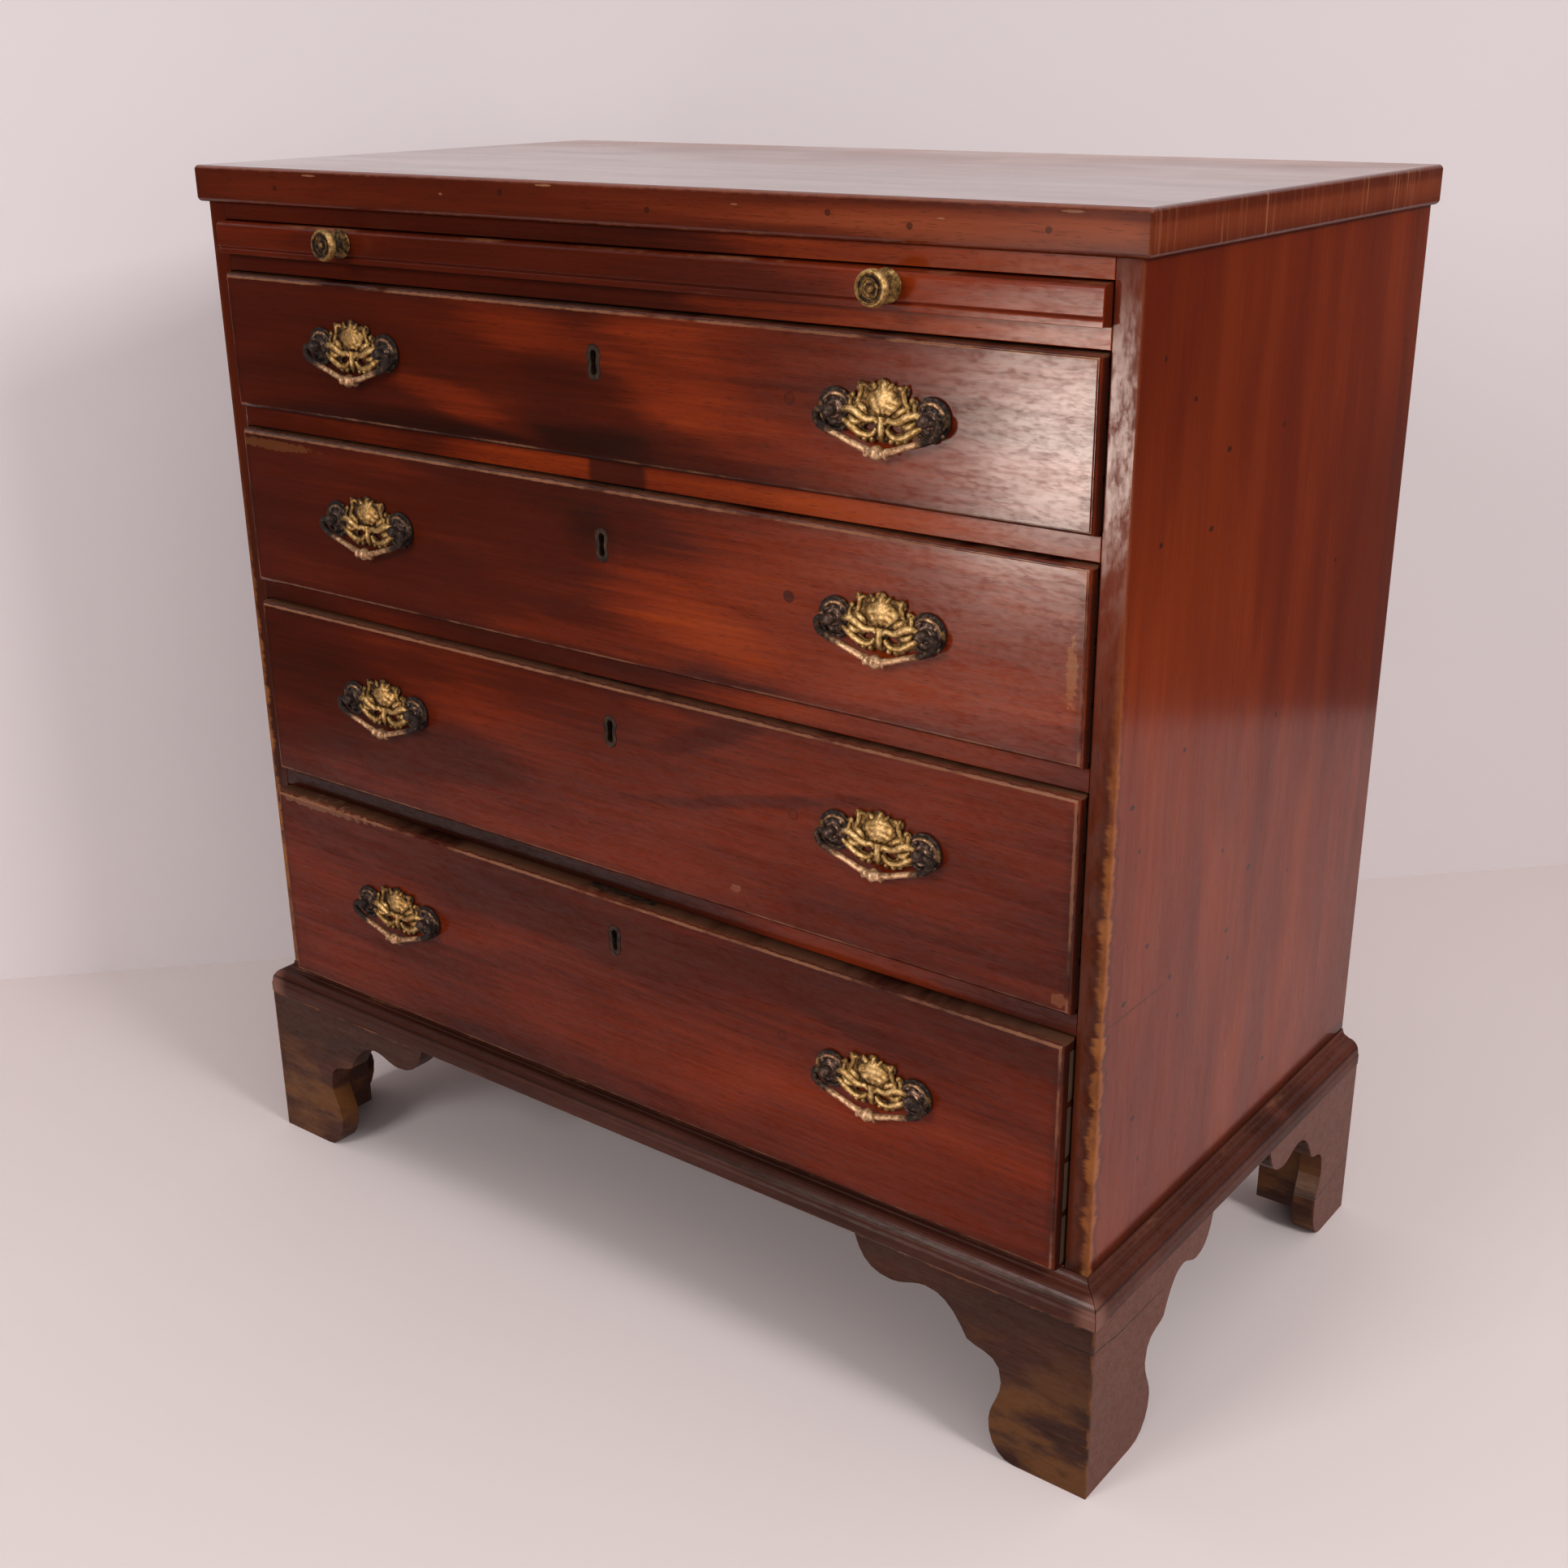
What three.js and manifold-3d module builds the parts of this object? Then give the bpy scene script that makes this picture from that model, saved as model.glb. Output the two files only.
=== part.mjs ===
// Bachelors chest: four graduated drawers under a brushing slide, on bracket feet.
// Millimetres, +X to the chest's right as seen from the front, +Y to its back, +Z up.
import * as THREE from 'three';
import { mergeVertices } from 'three/addons/utils/BufferGeometryUtils.js';
import Module from 'manifold-3d';

const wasm = await Module();
wasm.setup();

// Clearances shared by every joint of the chest
const seatGap = 0.3;
const overrun = 4;
const weld = 0.0005;

// Top
const topWidth = 780;
const topDepth = 417;
const topThick = 25.5;
const topEase = 2.5;
const topOverhang = 6;

// Carcass, from the floor up
const footHeight = 131.5;
const baseLip = 10;
const bottomThick = 18;
const railThick = 15;
const slideRailThick = 12.5;
const slideOpening = 24;
const topRailThick = 12;
const drawerOpenings = [100, 121, 143, 165];
const sideThick = 16.5;
const backThick = 10;
const backRebate = 8;
const backBoards = 4;
const backJointDepth = 2;
const railDepth = 60;
const dustThick = 9;
const housingDepth = 5;
const housingStop = 8;
const stopLength = 50;
const stopDepth = 22;
const stopHeight = 4.5;
const stopPlace = 150;

// Base moulding
const baseProjection = 15.5;
const baseHeight = 26.5;
const baseInset = 30;
const baseFace = 7.3;
const ovoloStart = 9.5;
const ovoloSet = 0.6;
const fillet = 1;
const coveProjection = 5;
const coveFoot = 21;
const coveTop = 0.8;

// Bracket feet
const footInset = 0.5;
const bracketThick = 18;
const glueBlock = 34;
const frontWing = 185;
const frontLeg = 75;
const sideWing = 169;
const sideLeg = 86;
const rearWing = 163;
const rearLeg = 62;
const backWing = 105;
const backLeg = 52;

// Drawers
const drawerProud = 7.5;
const lowestProud = 12.5;
const frontSideGap = 1.5;
const frontLift = 0.5;
const frontTopGap = 1.2;
const frontThick = 21;
const frontRound = 2;
const frontRoundDepth = 4;
const frontLand = 0.5;
const frontStep = 0.8;
const drawerBackSpace = 15.5;
const drawerSideThick = 9;
const drawerSideDrop = 6;
const drawerBackThick = 9;
const drawerBackDrop = 8;
const bottomBoardThick = 6.5;
const bottomBoardRaise = 6.5;
const grooveDepth = 4.5;
const lap = 8;
const tailCounts = [3, 3, 4, 4];
const pinWidth = 4;
const tailSlopeShare = 0.14;

// Brushing slide
const slideProud = 9.5;
const slideSideGap = 1;
const slideTopGap = 1;
const slideBackSpace = 10.5;
const slideRound = 4;
const beadHeight = 4.5;
const beadDepth = 1.2;
const knobSpacing = 460;
const knobRise = 2.5;
const knobBase = 10;
const knobNeck = 3.4;
const knobHead = 10.8;
const knobReach = 19.5;
const knobShank = 2.2;
const knobShankLength = 14;

// Drawer handles: a pierced plate with two posts, and a bail that swings between them
const handleSpacing = 455;
const handleDrops = [44.8, 55.6, 59.4, 71.4];
const plateHalf = 46.3;
const plateThick = 1.7;
const postSpacing = 67;
const postRise = 0.5;
const rosetteRadius = 9.8;
const rosetteRise = 3;
const neckRadius = 3.8;
const ballRadius = 5.5;
const pinReach = 9;
const pinDepth = 3;
const shankRadius = 2;
const nutRadius = 5;
const nutThick = 3.5;
const shellRadius = 14;
const shellRise = 1.5;
const shellHeight = 4.6;
const strapRadius = 1.9;
const bailRadius = 2.2;
const bailDrop = 21.5;
const bailReach = 42.4;
const boreGap = 0.4;
const knuckleLength = 15;
const knuckleRadius = 4.7;

// Locks
const keyOffset = 1.6;
const keyDrops = [34.7, 39, 33.8, 32.6];
const linerHead = 6;
const linerWaist = 5;
const linerFoot = 5.4;
const linerLength = 23.5;
const keyHead = 2.75;
const keyWaist = 1.9;
const keyFoot = 2.5;
const keyLength = 16.5;
const lockWidth = 62;
const lockHeight = 51;
const lockThick = 9;
const lockRim = 2;
const lockRimDepth = 13;
const keyDepth = 15;
const drillPin = 1.1;

// Places that follow from the sizes above
const carcassFront = topOverhang;
const carcassBack = topDepth;
const carcassHalf = topWidth / 2 - topOverhang;
const innerHalf = carcassHalf - sideThick;
const backInner = carcassBack - backThick;
const carcassBottom = footHeight + baseLip;
const floorTop = carcassBottom + bottomThick;
const openingFloors = [];
let level = floorTop;
for (let i = drawerOpenings.length - 1; i >= 0; i -= 1) {
  openingFloors[i] = level;
  level += drawerOpenings[i] + (i > 0 ? railThick : slideRailThick);
}
const slideFloor = level;
const topUnderside = slideFloor + slideOpening + topRailThick;
const frontHalf = innerHalf - frontSideGap;
const slideFront = carcassFront - slideProud;
const slideLength = backInner - slideFront - slideBackSpace;
const drawerLength = backInner - carcassFront + drawerProud - drawerBackSpace;
const grooveBottom = bottomBoardRaise;
const grooveTop = grooveBottom + bottomBoardThick + 2 * seatGap;

// Directions in which a flat outline is laid before it is given its thickness
const xAxis = new THREE.Vector3(1, 0, 0);
const yAxis = new THREE.Vector3(0, 1, 0);
const zAxis = new THREE.Vector3(0, 0, 1);
const seenFromSide = new THREE.Matrix4().makeBasis(yAxis, zAxis, xAxis);
const seenFromFront = new THREE.Matrix4().makeBasis(xAxis, zAxis, yAxis.clone().negate());

// Finishes
const mahogany = { color: 0x73301b, roughness: 0.36, metalness: 0 };
const sideMahogany = { color: 0x6b3222, roughness: 0.45, metalness: 0 };
const topMahogany = { color: 0x7a3b26, roughness: 0.28, metalness: 0 };
const footMahogany = { color: 0x4b2c20, roughness: 0.6, metalness: 0 };
const oak = { color: 0x9a7448, roughness: 0.75, metalness: 0 };
const pine = { color: 0x8c6a45, roughness: 0.85, metalness: 0 };
const brass = { color: 0xb98f52, roughness: 0.35, metalness: 1 };
const iron = { color: 0x5b4f48, roughness: 0.55, metalness: 1 };

// Closed mesh to solid, for joining and cutting
function solidFrom(geometry) {
  const bare = geometry.clone();
  bare.deleteAttribute('normal');
  bare.deleteAttribute('uv');
  const welded = mergeVertices(bare, weld);
  const corners = Array.from(welded.index.array);
  const kept = [];
  for (let i = 0; i < corners.length; i += 3) {
    const [a, b, c] = corners.slice(i, i + 3);
    if (a !== b && b !== c && c !== a) kept.push(a, b, c);
  }
  const vertProperties = new Float32Array(welded.attributes.position.array);
  const triVerts = new Uint32Array(kept);
  return new wasm.Manifold(new wasm.Mesh({ numProp: 3, vertProperties, triVerts }));
}

function geometryFrom(solid) {
  const { vertProperties, triVerts } = solid.getMesh();
  const geometry = new THREE.BufferGeometry();
  geometry.setAttribute('position', new THREE.BufferAttribute(vertProperties, 3));
  geometry.setIndex(new THREE.BufferAttribute(triVerts, 1));
  const faceted = geometry.toNonIndexed();
  faceted.computeVertexNormals();
  return faceted;
}

function joined(solids) {
  return solids.reduce((whole, piece) => whole.add(piece));
}

function cutBy(solid, cutters) {
  return cutters.reduce((rest, cutter) => rest.subtract(cutter), solid);
}

function block(x0, x1, y0, y1, z0, z1) {
  const box = new THREE.BoxGeometry(x1 - x0, y1 - y0, z1 - z0);
  box.translate((x0 + x1) / 2, (y0 + y1) / 2, (z0 + z1) / 2);
  return solidFrom(box);
}

function outline(points) {
  return new THREE.Shape(points.map(([a, b]) => new THREE.Vector2(a, b)));
}

// An outline in y and z, given its thickness from x0 to x1
function sideOn(shape, x0, x1, curveSegments) {
  const settings = { depth: x1 - x0, bevelEnabled: false, curveSegments };
  const board = new THREE.ExtrudeGeometry(shape, settings);
  board.applyMatrix4(seenFromSide);
  board.translate(x0, 0, 0);
  return solidFrom(board);
}

// An outline in x and z, given its thickness from y0 to y1
function frontOn(shape, y0, y1, curveSegments) {
  const settings = { depth: y1 - y0, bevelEnabled: false, curveSegments };
  const board = new THREE.ExtrudeGeometry(shape, settings);
  board.applyMatrix4(seenFromFront);
  board.translate(0, y1, 0);
  return solidFrom(board);
}

// A turned piece: the profile holds radius and reach, and the reach runs out of the front face
function turnedOut(profile, segments) {
  const points = profile.map(([radius, reach]) => new THREE.Vector2(radius, reach));
  const turned = new THREE.LatheGeometry(points, segments);
  turned.rotateX(Math.PI);
  return turned;
}

const chest = new THREE.Group();

function add(parent, name, shape, finish) {
  const geometry = shape.isBufferGeometry ? shape : geometryFrom(shape);
  const mesh = new THREE.Mesh(geometry, new THREE.MeshStandardMaterial(finish));
  mesh.name = name;
  parent.add(mesh);
  return mesh;
}

// Top: a slab with eased edges
function topBoard() {
  const plan = outline([
    [-topWidth / 2, 0],
    [topWidth / 2, 0],
    [topWidth / 2, topDepth],
    [-topWidth / 2, topDepth],
  ]);
  const slab = new THREE.ExtrudeGeometry(plan, {
    depth: topThick - 2 * topEase,
    bevelThickness: topEase,
    bevelSize: topEase,
    bevelOffset: -topEase,
    bevelSegments: 2,
  });
  slab.translate(0, 0, topUnderside + topEase);
  return slab;
}

// Where a rail and the dust board behind it are housed, grown all round by a clearance
function railBody(floor, thick, boardThick, half, front, grow) {
  const rear = backInner - seatGap + grow;
  return joined([
    block(-half, half, front - grow, carcassFront + railDepth + grow, floor - thick - grow, floor + grow),
    block(-half, half, front, rear, floor - boardThick - grow, floor + grow),
  ]);
}

// A rail with its dust board, its tongues in the sides, and the stops that the drawer above it meets
function railWithDustBoard(floor, thick, boardThick, stopFront) {
  const tongue = innerHalf + housingDepth - seatGap;
  const body = railBody(floor, thick, boardThick, tongue, carcassFront + housingStop, 0);
  const face = block(
    -innerHalf + seatGap,
    innerHalf - seatGap,
    carcassFront,
    carcassFront + railDepth,
    floor - thick,
    floor,
  );
  const stops = [];
  if (stopFront !== null) {
    for (const side of [-1, 1]) {
      const middle = side * stopPlace;
      stops.push(block(
        middle - stopLength / 2,
        middle + stopLength / 2,
        stopFront,
        stopFront + stopDepth,
        floor - boardThick / 2,
        floor + stopHeight,
      ));
    }
  }
  return joined([body, face, ...stops]);
}

function housing(floor, thick, boardThick) {
  return railBody(floor, thick, boardThick, innerHalf + housingDepth, carcassFront + housingStop, seatGap);
}

// Top rail, its tongues let down into the tops of the sides
function topRail(half, front, grow) {
  const top = topUnderside - seatGap;
  return block(
    -half,
    half,
    front - grow,
    carcassFront + railDepth + grow,
    topUnderside - topRailThick - grow,
    top + grow,
  );
}

// Each drawer stands against stops fixed behind the foot of its front
function stopFrontOf(drawer) {
  return frontPlane(drawer) + frontThick + seatGap;
}

function frontPlane(drawer) {
  const lowest = drawer === drawerOpenings.length - 1;
  return carcassFront - (lowest ? lowestProud : drawerProud);
}

const last = drawerOpenings.length - 1;
const shelves = [
  { name: 'slide_rail', floor: slideFloor, thick: slideRailThick, boardThick: dustThick },
  { name: 'divider_upper', floor: openingFloors[0], thick: railThick, boardThick: dustThick, drawer: 0 },
  { name: 'divider_middle', floor: openingFloors[1], thick: railThick, boardThick: dustThick, drawer: 1 },
  { name: 'divider_lower', floor: openingFloors[2], thick: railThick, boardThick: dustThick, drawer: 2 },
  { name: 'bottom_board', floor: floorTop, thick: bottomThick, boardThick: bottomThick, drawer: last },
];

// Side boards, housed for every rail and rebated for the back
function sideBoard(side) {
  const [x0, x1] = side > 0 ? [innerHalf, carcassHalf] : [-carcassHalf, -innerHalf];
  const board = block(x0, x1, carcassFront, carcassBack, carcassBottom, topUnderside - seatGap);
  const inner = side * innerHalf;
  const rebate = block(
    Math.min(inner, inner + side * backRebate) - (side > 0 ? overrun : 0),
    Math.max(inner, inner + side * backRebate) + (side > 0 ? 0 : overrun),
    backInner - seatGap,
    carcassBack + overrun,
    carcassBottom - overrun,
    topUnderside + overrun,
  );
  const slots = shelves.map((shelf) => housing(shelf.floor, shelf.thick, shelf.boardThick));
  const railNotch = topRail(innerHalf + housingDepth, carcassFront + housingStop, seatGap);
  return cutBy(board, [rebate, ...slots, railNotch]);
}

// Back: upright boards with a bevelled joint line between neighbours
function backPanel() {
  const half = innerHalf + backRebate - seatGap;
  const points = [[-half, backInner], [half, backInner], [half, carcassBack]];
  const boardWidth = (2 * half) / backBoards;
  for (let i = backBoards - 1; i > 0; i -= 1) {
    const joint = -half + i * boardWidth;
    points.push([joint + backJointDepth, carcassBack], [joint, carcassBack - backJointDepth]);
    points.push([joint - backJointDepth, carcassBack]);
  }
  points.push([-half, carcassBack]);
  const height = topUnderside - seatGap - carcassBottom;
  const panel = new THREE.ExtrudeGeometry(outline(points), { depth: height, bevelEnabled: false });
  panel.translate(0, 0, carcassBottom);
  return panel;
}

// Base moulding: a face, an ovolo, a fillet and a cove, over a flat frame under the carcass
function mouldingProfile() {
  const profile = new THREE.Shape();
  profile.moveTo(-baseInset, 0);
  profile.lineTo(baseProjection, 0);
  profile.lineTo(baseProjection, baseFace);
  const ovoloWidth = baseProjection - ovoloSet - coveProjection - fillet;
  const ovoloHeight = coveFoot - fillet - ovoloStart;
  const ovoloFoot = [coveProjection + fillet, ovoloStart];
  profile.absellipse(...ovoloFoot, ovoloWidth, ovoloHeight, 0, Math.PI / 2, false, 0);
  profile.lineTo(coveProjection, coveFoot);
  const coveWidth = coveProjection - coveTop;
  const coveHeight = baseHeight - coveFoot;
  profile.absellipse(coveProjection, baseHeight, coveWidth, coveHeight, -Math.PI / 2, Math.PI, true, 0);
  profile.lineTo(seatGap, baseHeight);
  profile.lineTo(seatGap, baseLip - seatGap);
  profile.lineTo(-baseInset, baseLip - seatGap);
  return profile;
}

// One run of moulding, each of its ends moved out to its mitre or its square end
function mouldingRun(run) {
  const settings = { depth: baseHeight, bevelEnabled: false, curveSegments: 4 };
  const strip = new THREE.ExtrudeGeometry(mouldingProfile(), settings);
  const place = strip.attributes.position;
  for (let i = 0; i < place.count; i += 1) {
    const [x, y] = run(place.getX(i), place.getZ(i) > baseHeight / 2);
    place.setXYZ(i, x, y, footHeight + place.getY(i));
  }
  return solidFrom(strip);
}

function frontMoulding(projection, far) {
  const end = carcassHalf + projection - seatGap;
  return [far ? -end : end, carcassFront - projection];
}

function rightMoulding(projection, far) {
  return [carcassHalf + projection, far ? carcassFront - projection + seatGap : carcassBack];
}

function leftMoulding(projection, far) {
  return [-carcassHalf - projection, far ? carcassBack : carcassFront - projection + seatGap];
}

// Each sweep of a bracket's lower edge, from the wing's end down to the sole: its bend, its leave
// and its end, as shares of reach and height. A reach up to 1 lies on the leg, past 1 on the wing.
const bracketSweepShares = [
  [[1.95, 0.87], [1.88, 0.808], [1.72, 0.808]],
  [[1.63, 0.808], [1.56, 0.86], [1.47, 0.86]],
  [[1.33, 0.86], [1.25, 0.77], [1.17, 0.65]],
  [[1.09, 0.605], [0.885, 0.65], [0.885, 0.47]],
  [[0.885, 0.38], [1, 0.31], [1, 0.22]],
  [[1, 0.09], [0.885, 0], [0.72, 0]],
];

// Outline of one bracket, its reach measured in from the outer corner of the foot
function bracketOutline(wing, leg, place) {
  const height = footHeight - seatGap;
  const reachAt = (share) => place(share > 1 ? leg + (wing - leg) * (share - 1) : leg * share);
  const shape = new THREE.Shape();
  shape.moveTo(place(0), 0);
  shape.lineTo(place(0), height);
  shape.lineTo(place(wing), height);
  for (const [bend, leave, end] of bracketSweepShares) {
    const points = [bend, leave, end].map(([reach, rise]) => [reachAt(reach), rise * height]);
    shape.bezierCurveTo(...points.flat());
  }
  return shape;
}

// A foot: one bracket across the chest, one along its side, and a glue block in the corner
function foot(side, atFront) {
  const outer = carcassHalf + baseProjection - footInset;
  const face = atFront ? carcassFront - baseProjection + footInset : carcassBack;
  const inward = atFront ? 1 : -1;
  const across = bracketOutline(
    atFront ? frontWing : backWing,
    atFront ? frontLeg : backLeg,
    (reach) => side * (outer - reach),
  );
  const along = bracketOutline(
    atFront ? sideWing : rearWing,
    atFront ? sideLeg : rearLeg,
    (reach) => face + inward * reach,
  );
  const span = (a, b) => [Math.min(a, b), Math.max(a, b)];
  const [y0, y1] = span(face, face + inward * bracketThick);
  const [x0, x1] = span(side * outer, side * (outer - bracketThick));
  const depth = bracketThick + glueBlock;
  const [blockX0, blockX1] = span(side * (outer - bracketThick / 2), side * (outer - depth));
  const [blockY0, blockY1] = span(face + (inward * bracketThick) / 2, face + inward * depth);
  return joined([
    frontOn(across, y0, y1, 5),
    sideOn(along, x0, x1, 5),
    block(blockX0, blockX1, blockY0, blockY1, glueBlock / 2, footHeight - seatGap),
  ]);
}

// Brushing slide: a board with a rounded upper edge and a bead worked near its lower one
const slideThick = slideOpening - seatGap - slideTopGap;

function slideBoard() {
  const half = innerHalf - slideSideGap;
  const edge = new THREE.Shape();
  edge.moveTo(slideFront + slideLength, 0);
  edge.lineTo(slideFront, 0);
  edge.lineTo(slideFront, beadHeight - beadDepth);
  edge.lineTo(slideFront + beadDepth, beadHeight);
  edge.lineTo(slideFront, beadHeight + beadDepth);
  edge.lineTo(slideFront, slideThick - slideRound);
  edge.absarc(slideFront + slideRound, slideThick - slideRound, slideRound, Math.PI, Math.PI / 2, true);
  edge.lineTo(slideFront + slideLength, slideThick);
  const board = sideOn(edge, -half, half, 2);
  const holes = [-1, 1].map((side) => {
    const hole = roundBar(knobShank + boreGap, -overrun, knobShankLength + seatGap, 8);
    return hole.translate([(side * knobSpacing) / 2, slideFront, slideThick / 2 + knobRise]);
  });
  return cutBy(board, holes);
}

// A round bar along y, from y0 to y1
function roundBar(radius, y0, y1, segments) {
  const bar = new THREE.CylinderGeometry(radius, radius, y1 - y0, segments);
  bar.translate(0, (y0 + y1) / 2, 0);
  return solidFrom(bar);
}

// Knob: shank, base disc, neck and a dished head with a ring and a centre dot
const knobHeadShares = [
  [0.7, 0.56],
  [1, 0.7],
  [0.94, 0.88],
  [0.78, 0.92],
  [0.7, 0.86],
  [0.3, 0.86],
  [0.22, 1],
  [0, 1],
];

function knob() {
  const head = knobHeadShares.map(([radius, reach]) => [radius * knobHead, reach * knobReach]);
  return turnedOut([
    [0, -knobShankLength],
    [knobShank, -knobShankLength],
    [knobShank, seatGap],
    [knobBase, seatGap],
    [knobBase, seatGap + knobShank / 2],
    [knobNeck, knobNeck],
    [knobNeck, knobReach / 2],
    ...head,
  ], 9);
}

// Dovetails: rows of tails along an edge, wide at the tip and narrow at the root
function tailRows(low, high, count, length) {
  const pitch = (high - low) / count;
  const tip = (pitch - pinWidth) / 2;
  const root = tip - tailSlopeShare * length;
  return Array.from({ length: count }, (_, row) => {
    const middle = low + pitch * row + pitch / 2;
    return { middle, tip, root };
  });
}

// The spaces that the tails need in the board they enter, from its root face to their tips
function tailSockets(rows, rootAt, tipAt, x0, x1) {
  const beyond = rootAt + Math.sign(rootAt - tipAt) * overrun;
  return rows.map(({ middle, tip, root }) => {
    const narrow = root - (tip - root) * (overrun / Math.abs(rootAt - tipAt)) + seatGap;
    const wide = tip + seatGap;
    const socket = outline([
      [beyond, middle - narrow],
      [tipAt, middle - wide],
      [tipAt, middle + wide],
      [beyond, middle + narrow],
    ]);
    return sideOn(socket, x0, x1);
  });
}

// Sizes that the boards of one drawer share
function drawerSizes(drawer) {
  const opening = drawerOpenings[drawer];
  const frontTop = opening - frontTopGap;
  const sideTop = frontTop - drawerSideDrop;
  const backTop = frontTop - drawerBackDrop;
  const count = tailCounts[drawer];
  return {
    frontTop,
    sideTop,
    backTop,
    frontTails: tailRows(frontLift, sideTop, count, frontThick - lap),
    backTails: tailRows(grooveTop, backTop, count, drawerBackThick),
    keyHeight: frontTop - keyDrops[drawer],
    handleHeight: frontTop - handleDrops[drawer],
  };
}

// A drawer side, its tails lapped into the front and run through the back
function drawerSide(side, sizes) {
  const root = frontThick + seatGap;
  const tip = lap + seatGap;
  const backRoot = drawerLength - drawerBackThick - seatGap;
  const points = [[root, seatGap]];
  for (const tail of sizes.frontTails) {
    points.push([root, tail.middle - tail.root], [tip, tail.middle - tail.tip]);
    points.push([tip, tail.middle + tail.tip], [root, tail.middle + tail.root]);
  }
  points.push([root, sizes.sideTop], [backRoot, sizes.sideTop]);
  for (const tail of [...sizes.backTails].reverse()) {
    points.push([backRoot, tail.middle + tail.root], [drawerLength, tail.middle + tail.tip]);
    points.push([drawerLength, tail.middle - tail.tip], [backRoot, tail.middle - tail.root]);
  }
  points.push([backRoot, grooveTop - seatGap], [drawerLength, grooveTop - seatGap]);
  points.push([drawerLength, seatGap]);
  const innerFace = frontHalf - drawerSideThick;
  const [x0, x1] = side > 0 ? [innerFace, frontHalf] : [-frontHalf, -innerFace];
  const inner = side * innerFace;
  const grooveX = [inner - side * overrun, inner + side * grooveDepth];
  const groove = block(
    Math.min(...grooveX),
    Math.max(...grooveX),
    -overrun,
    drawerLength + overrun,
    grooveBottom,
    grooveTop,
  );
  return sideOn(outline(points), x0, x1).subtract(groove);
}

function drawerBack(sizes) {
  const board = block(
    -frontHalf,
    frontHalf,
    drawerLength - drawerBackThick,
    drawerLength,
    grooveTop,
    sizes.backTop,
  );
  const root = drawerLength - drawerBackThick;
  const inner = frontHalf - drawerSideThick - seatGap;
  const right = tailSockets(sizes.backTails, root, drawerLength + seatGap, inner, frontHalf + overrun);
  const left = tailSockets(sizes.backTails, root, drawerLength + seatGap, -frontHalf - overrun, -inner);
  return cutBy(board, [...right, ...left]);
}

function drawerBottom() {
  const half = frontHalf - drawerSideThick + grooveDepth - seatGap;
  return block(
    -half,
    half,
    frontThick - grooveDepth + seatGap,
    drawerLength,
    grooveBottom + seatGap,
    grooveTop - seatGap,
  );
}

// Keyhole outline: round at its top and its foot, with a waist between them
function keyShape(head, waist, foot, length, height) {
  const shape = new THREE.Shape();
  shape.absarc(keyOffset, height + length / 2 - head, head, 0, Math.PI, false);
  shape.lineTo(keyOffset - waist, height);
  shape.absarc(keyOffset, height - length / 2 + foot, foot, Math.PI, 2 * Math.PI, false);
  shape.lineTo(keyOffset + waist, height);
  return shape;
}

function lockSpace(sizes, grow) {
  const half = lockWidth / 2 + grow;
  const liner = keyShape(
    linerHead + grow,
    linerWaist + grow,
    linerFoot + grow,
    linerLength + 2 * grow,
    sizes.keyHeight,
  );
  const rear = frontThick + (grow > 0 ? overrun : 0);
  const upper = sizes.frontTop + (grow > 0 ? overrun : 0);
  const rim = sizes.frontTop - lockRim;
  return joined([
    frontOn(liner, grow > 0 ? -overrun : 0, frontThick - lockThick / 2, 2),
    block(
      keyOffset - half,
      keyOffset + half,
      frontThick - lockThick - grow,
      rear,
      sizes.frontTop - lockHeight - grow,
      rim + lockRim / 2,
    ),
    block(keyOffset - half, keyOffset + half, frontThick - lockRimDepth - grow, rear, rim - grow, upper),
  ]);
}

// Lock: its case and rim let into the front, with the keyhole's liner and the drill pin
function lock(sizes) {
  const slot = keyShape(keyHead, keyWaist, keyFoot, keyLength, sizes.keyHeight);
  const pinHeight = sizes.keyHeight + keyLength / 2 - keyHead;
  const pin = roundBar(drillPin, lockThick, keyDepth + drillPin, 6);
  const pierced = lockSpace(sizes, 0).subtract(frontOn(slot, -overrun, keyDepth, 2));
  return pierced.add(pin.translate([keyOffset, 0, pinHeight]));
}

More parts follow.
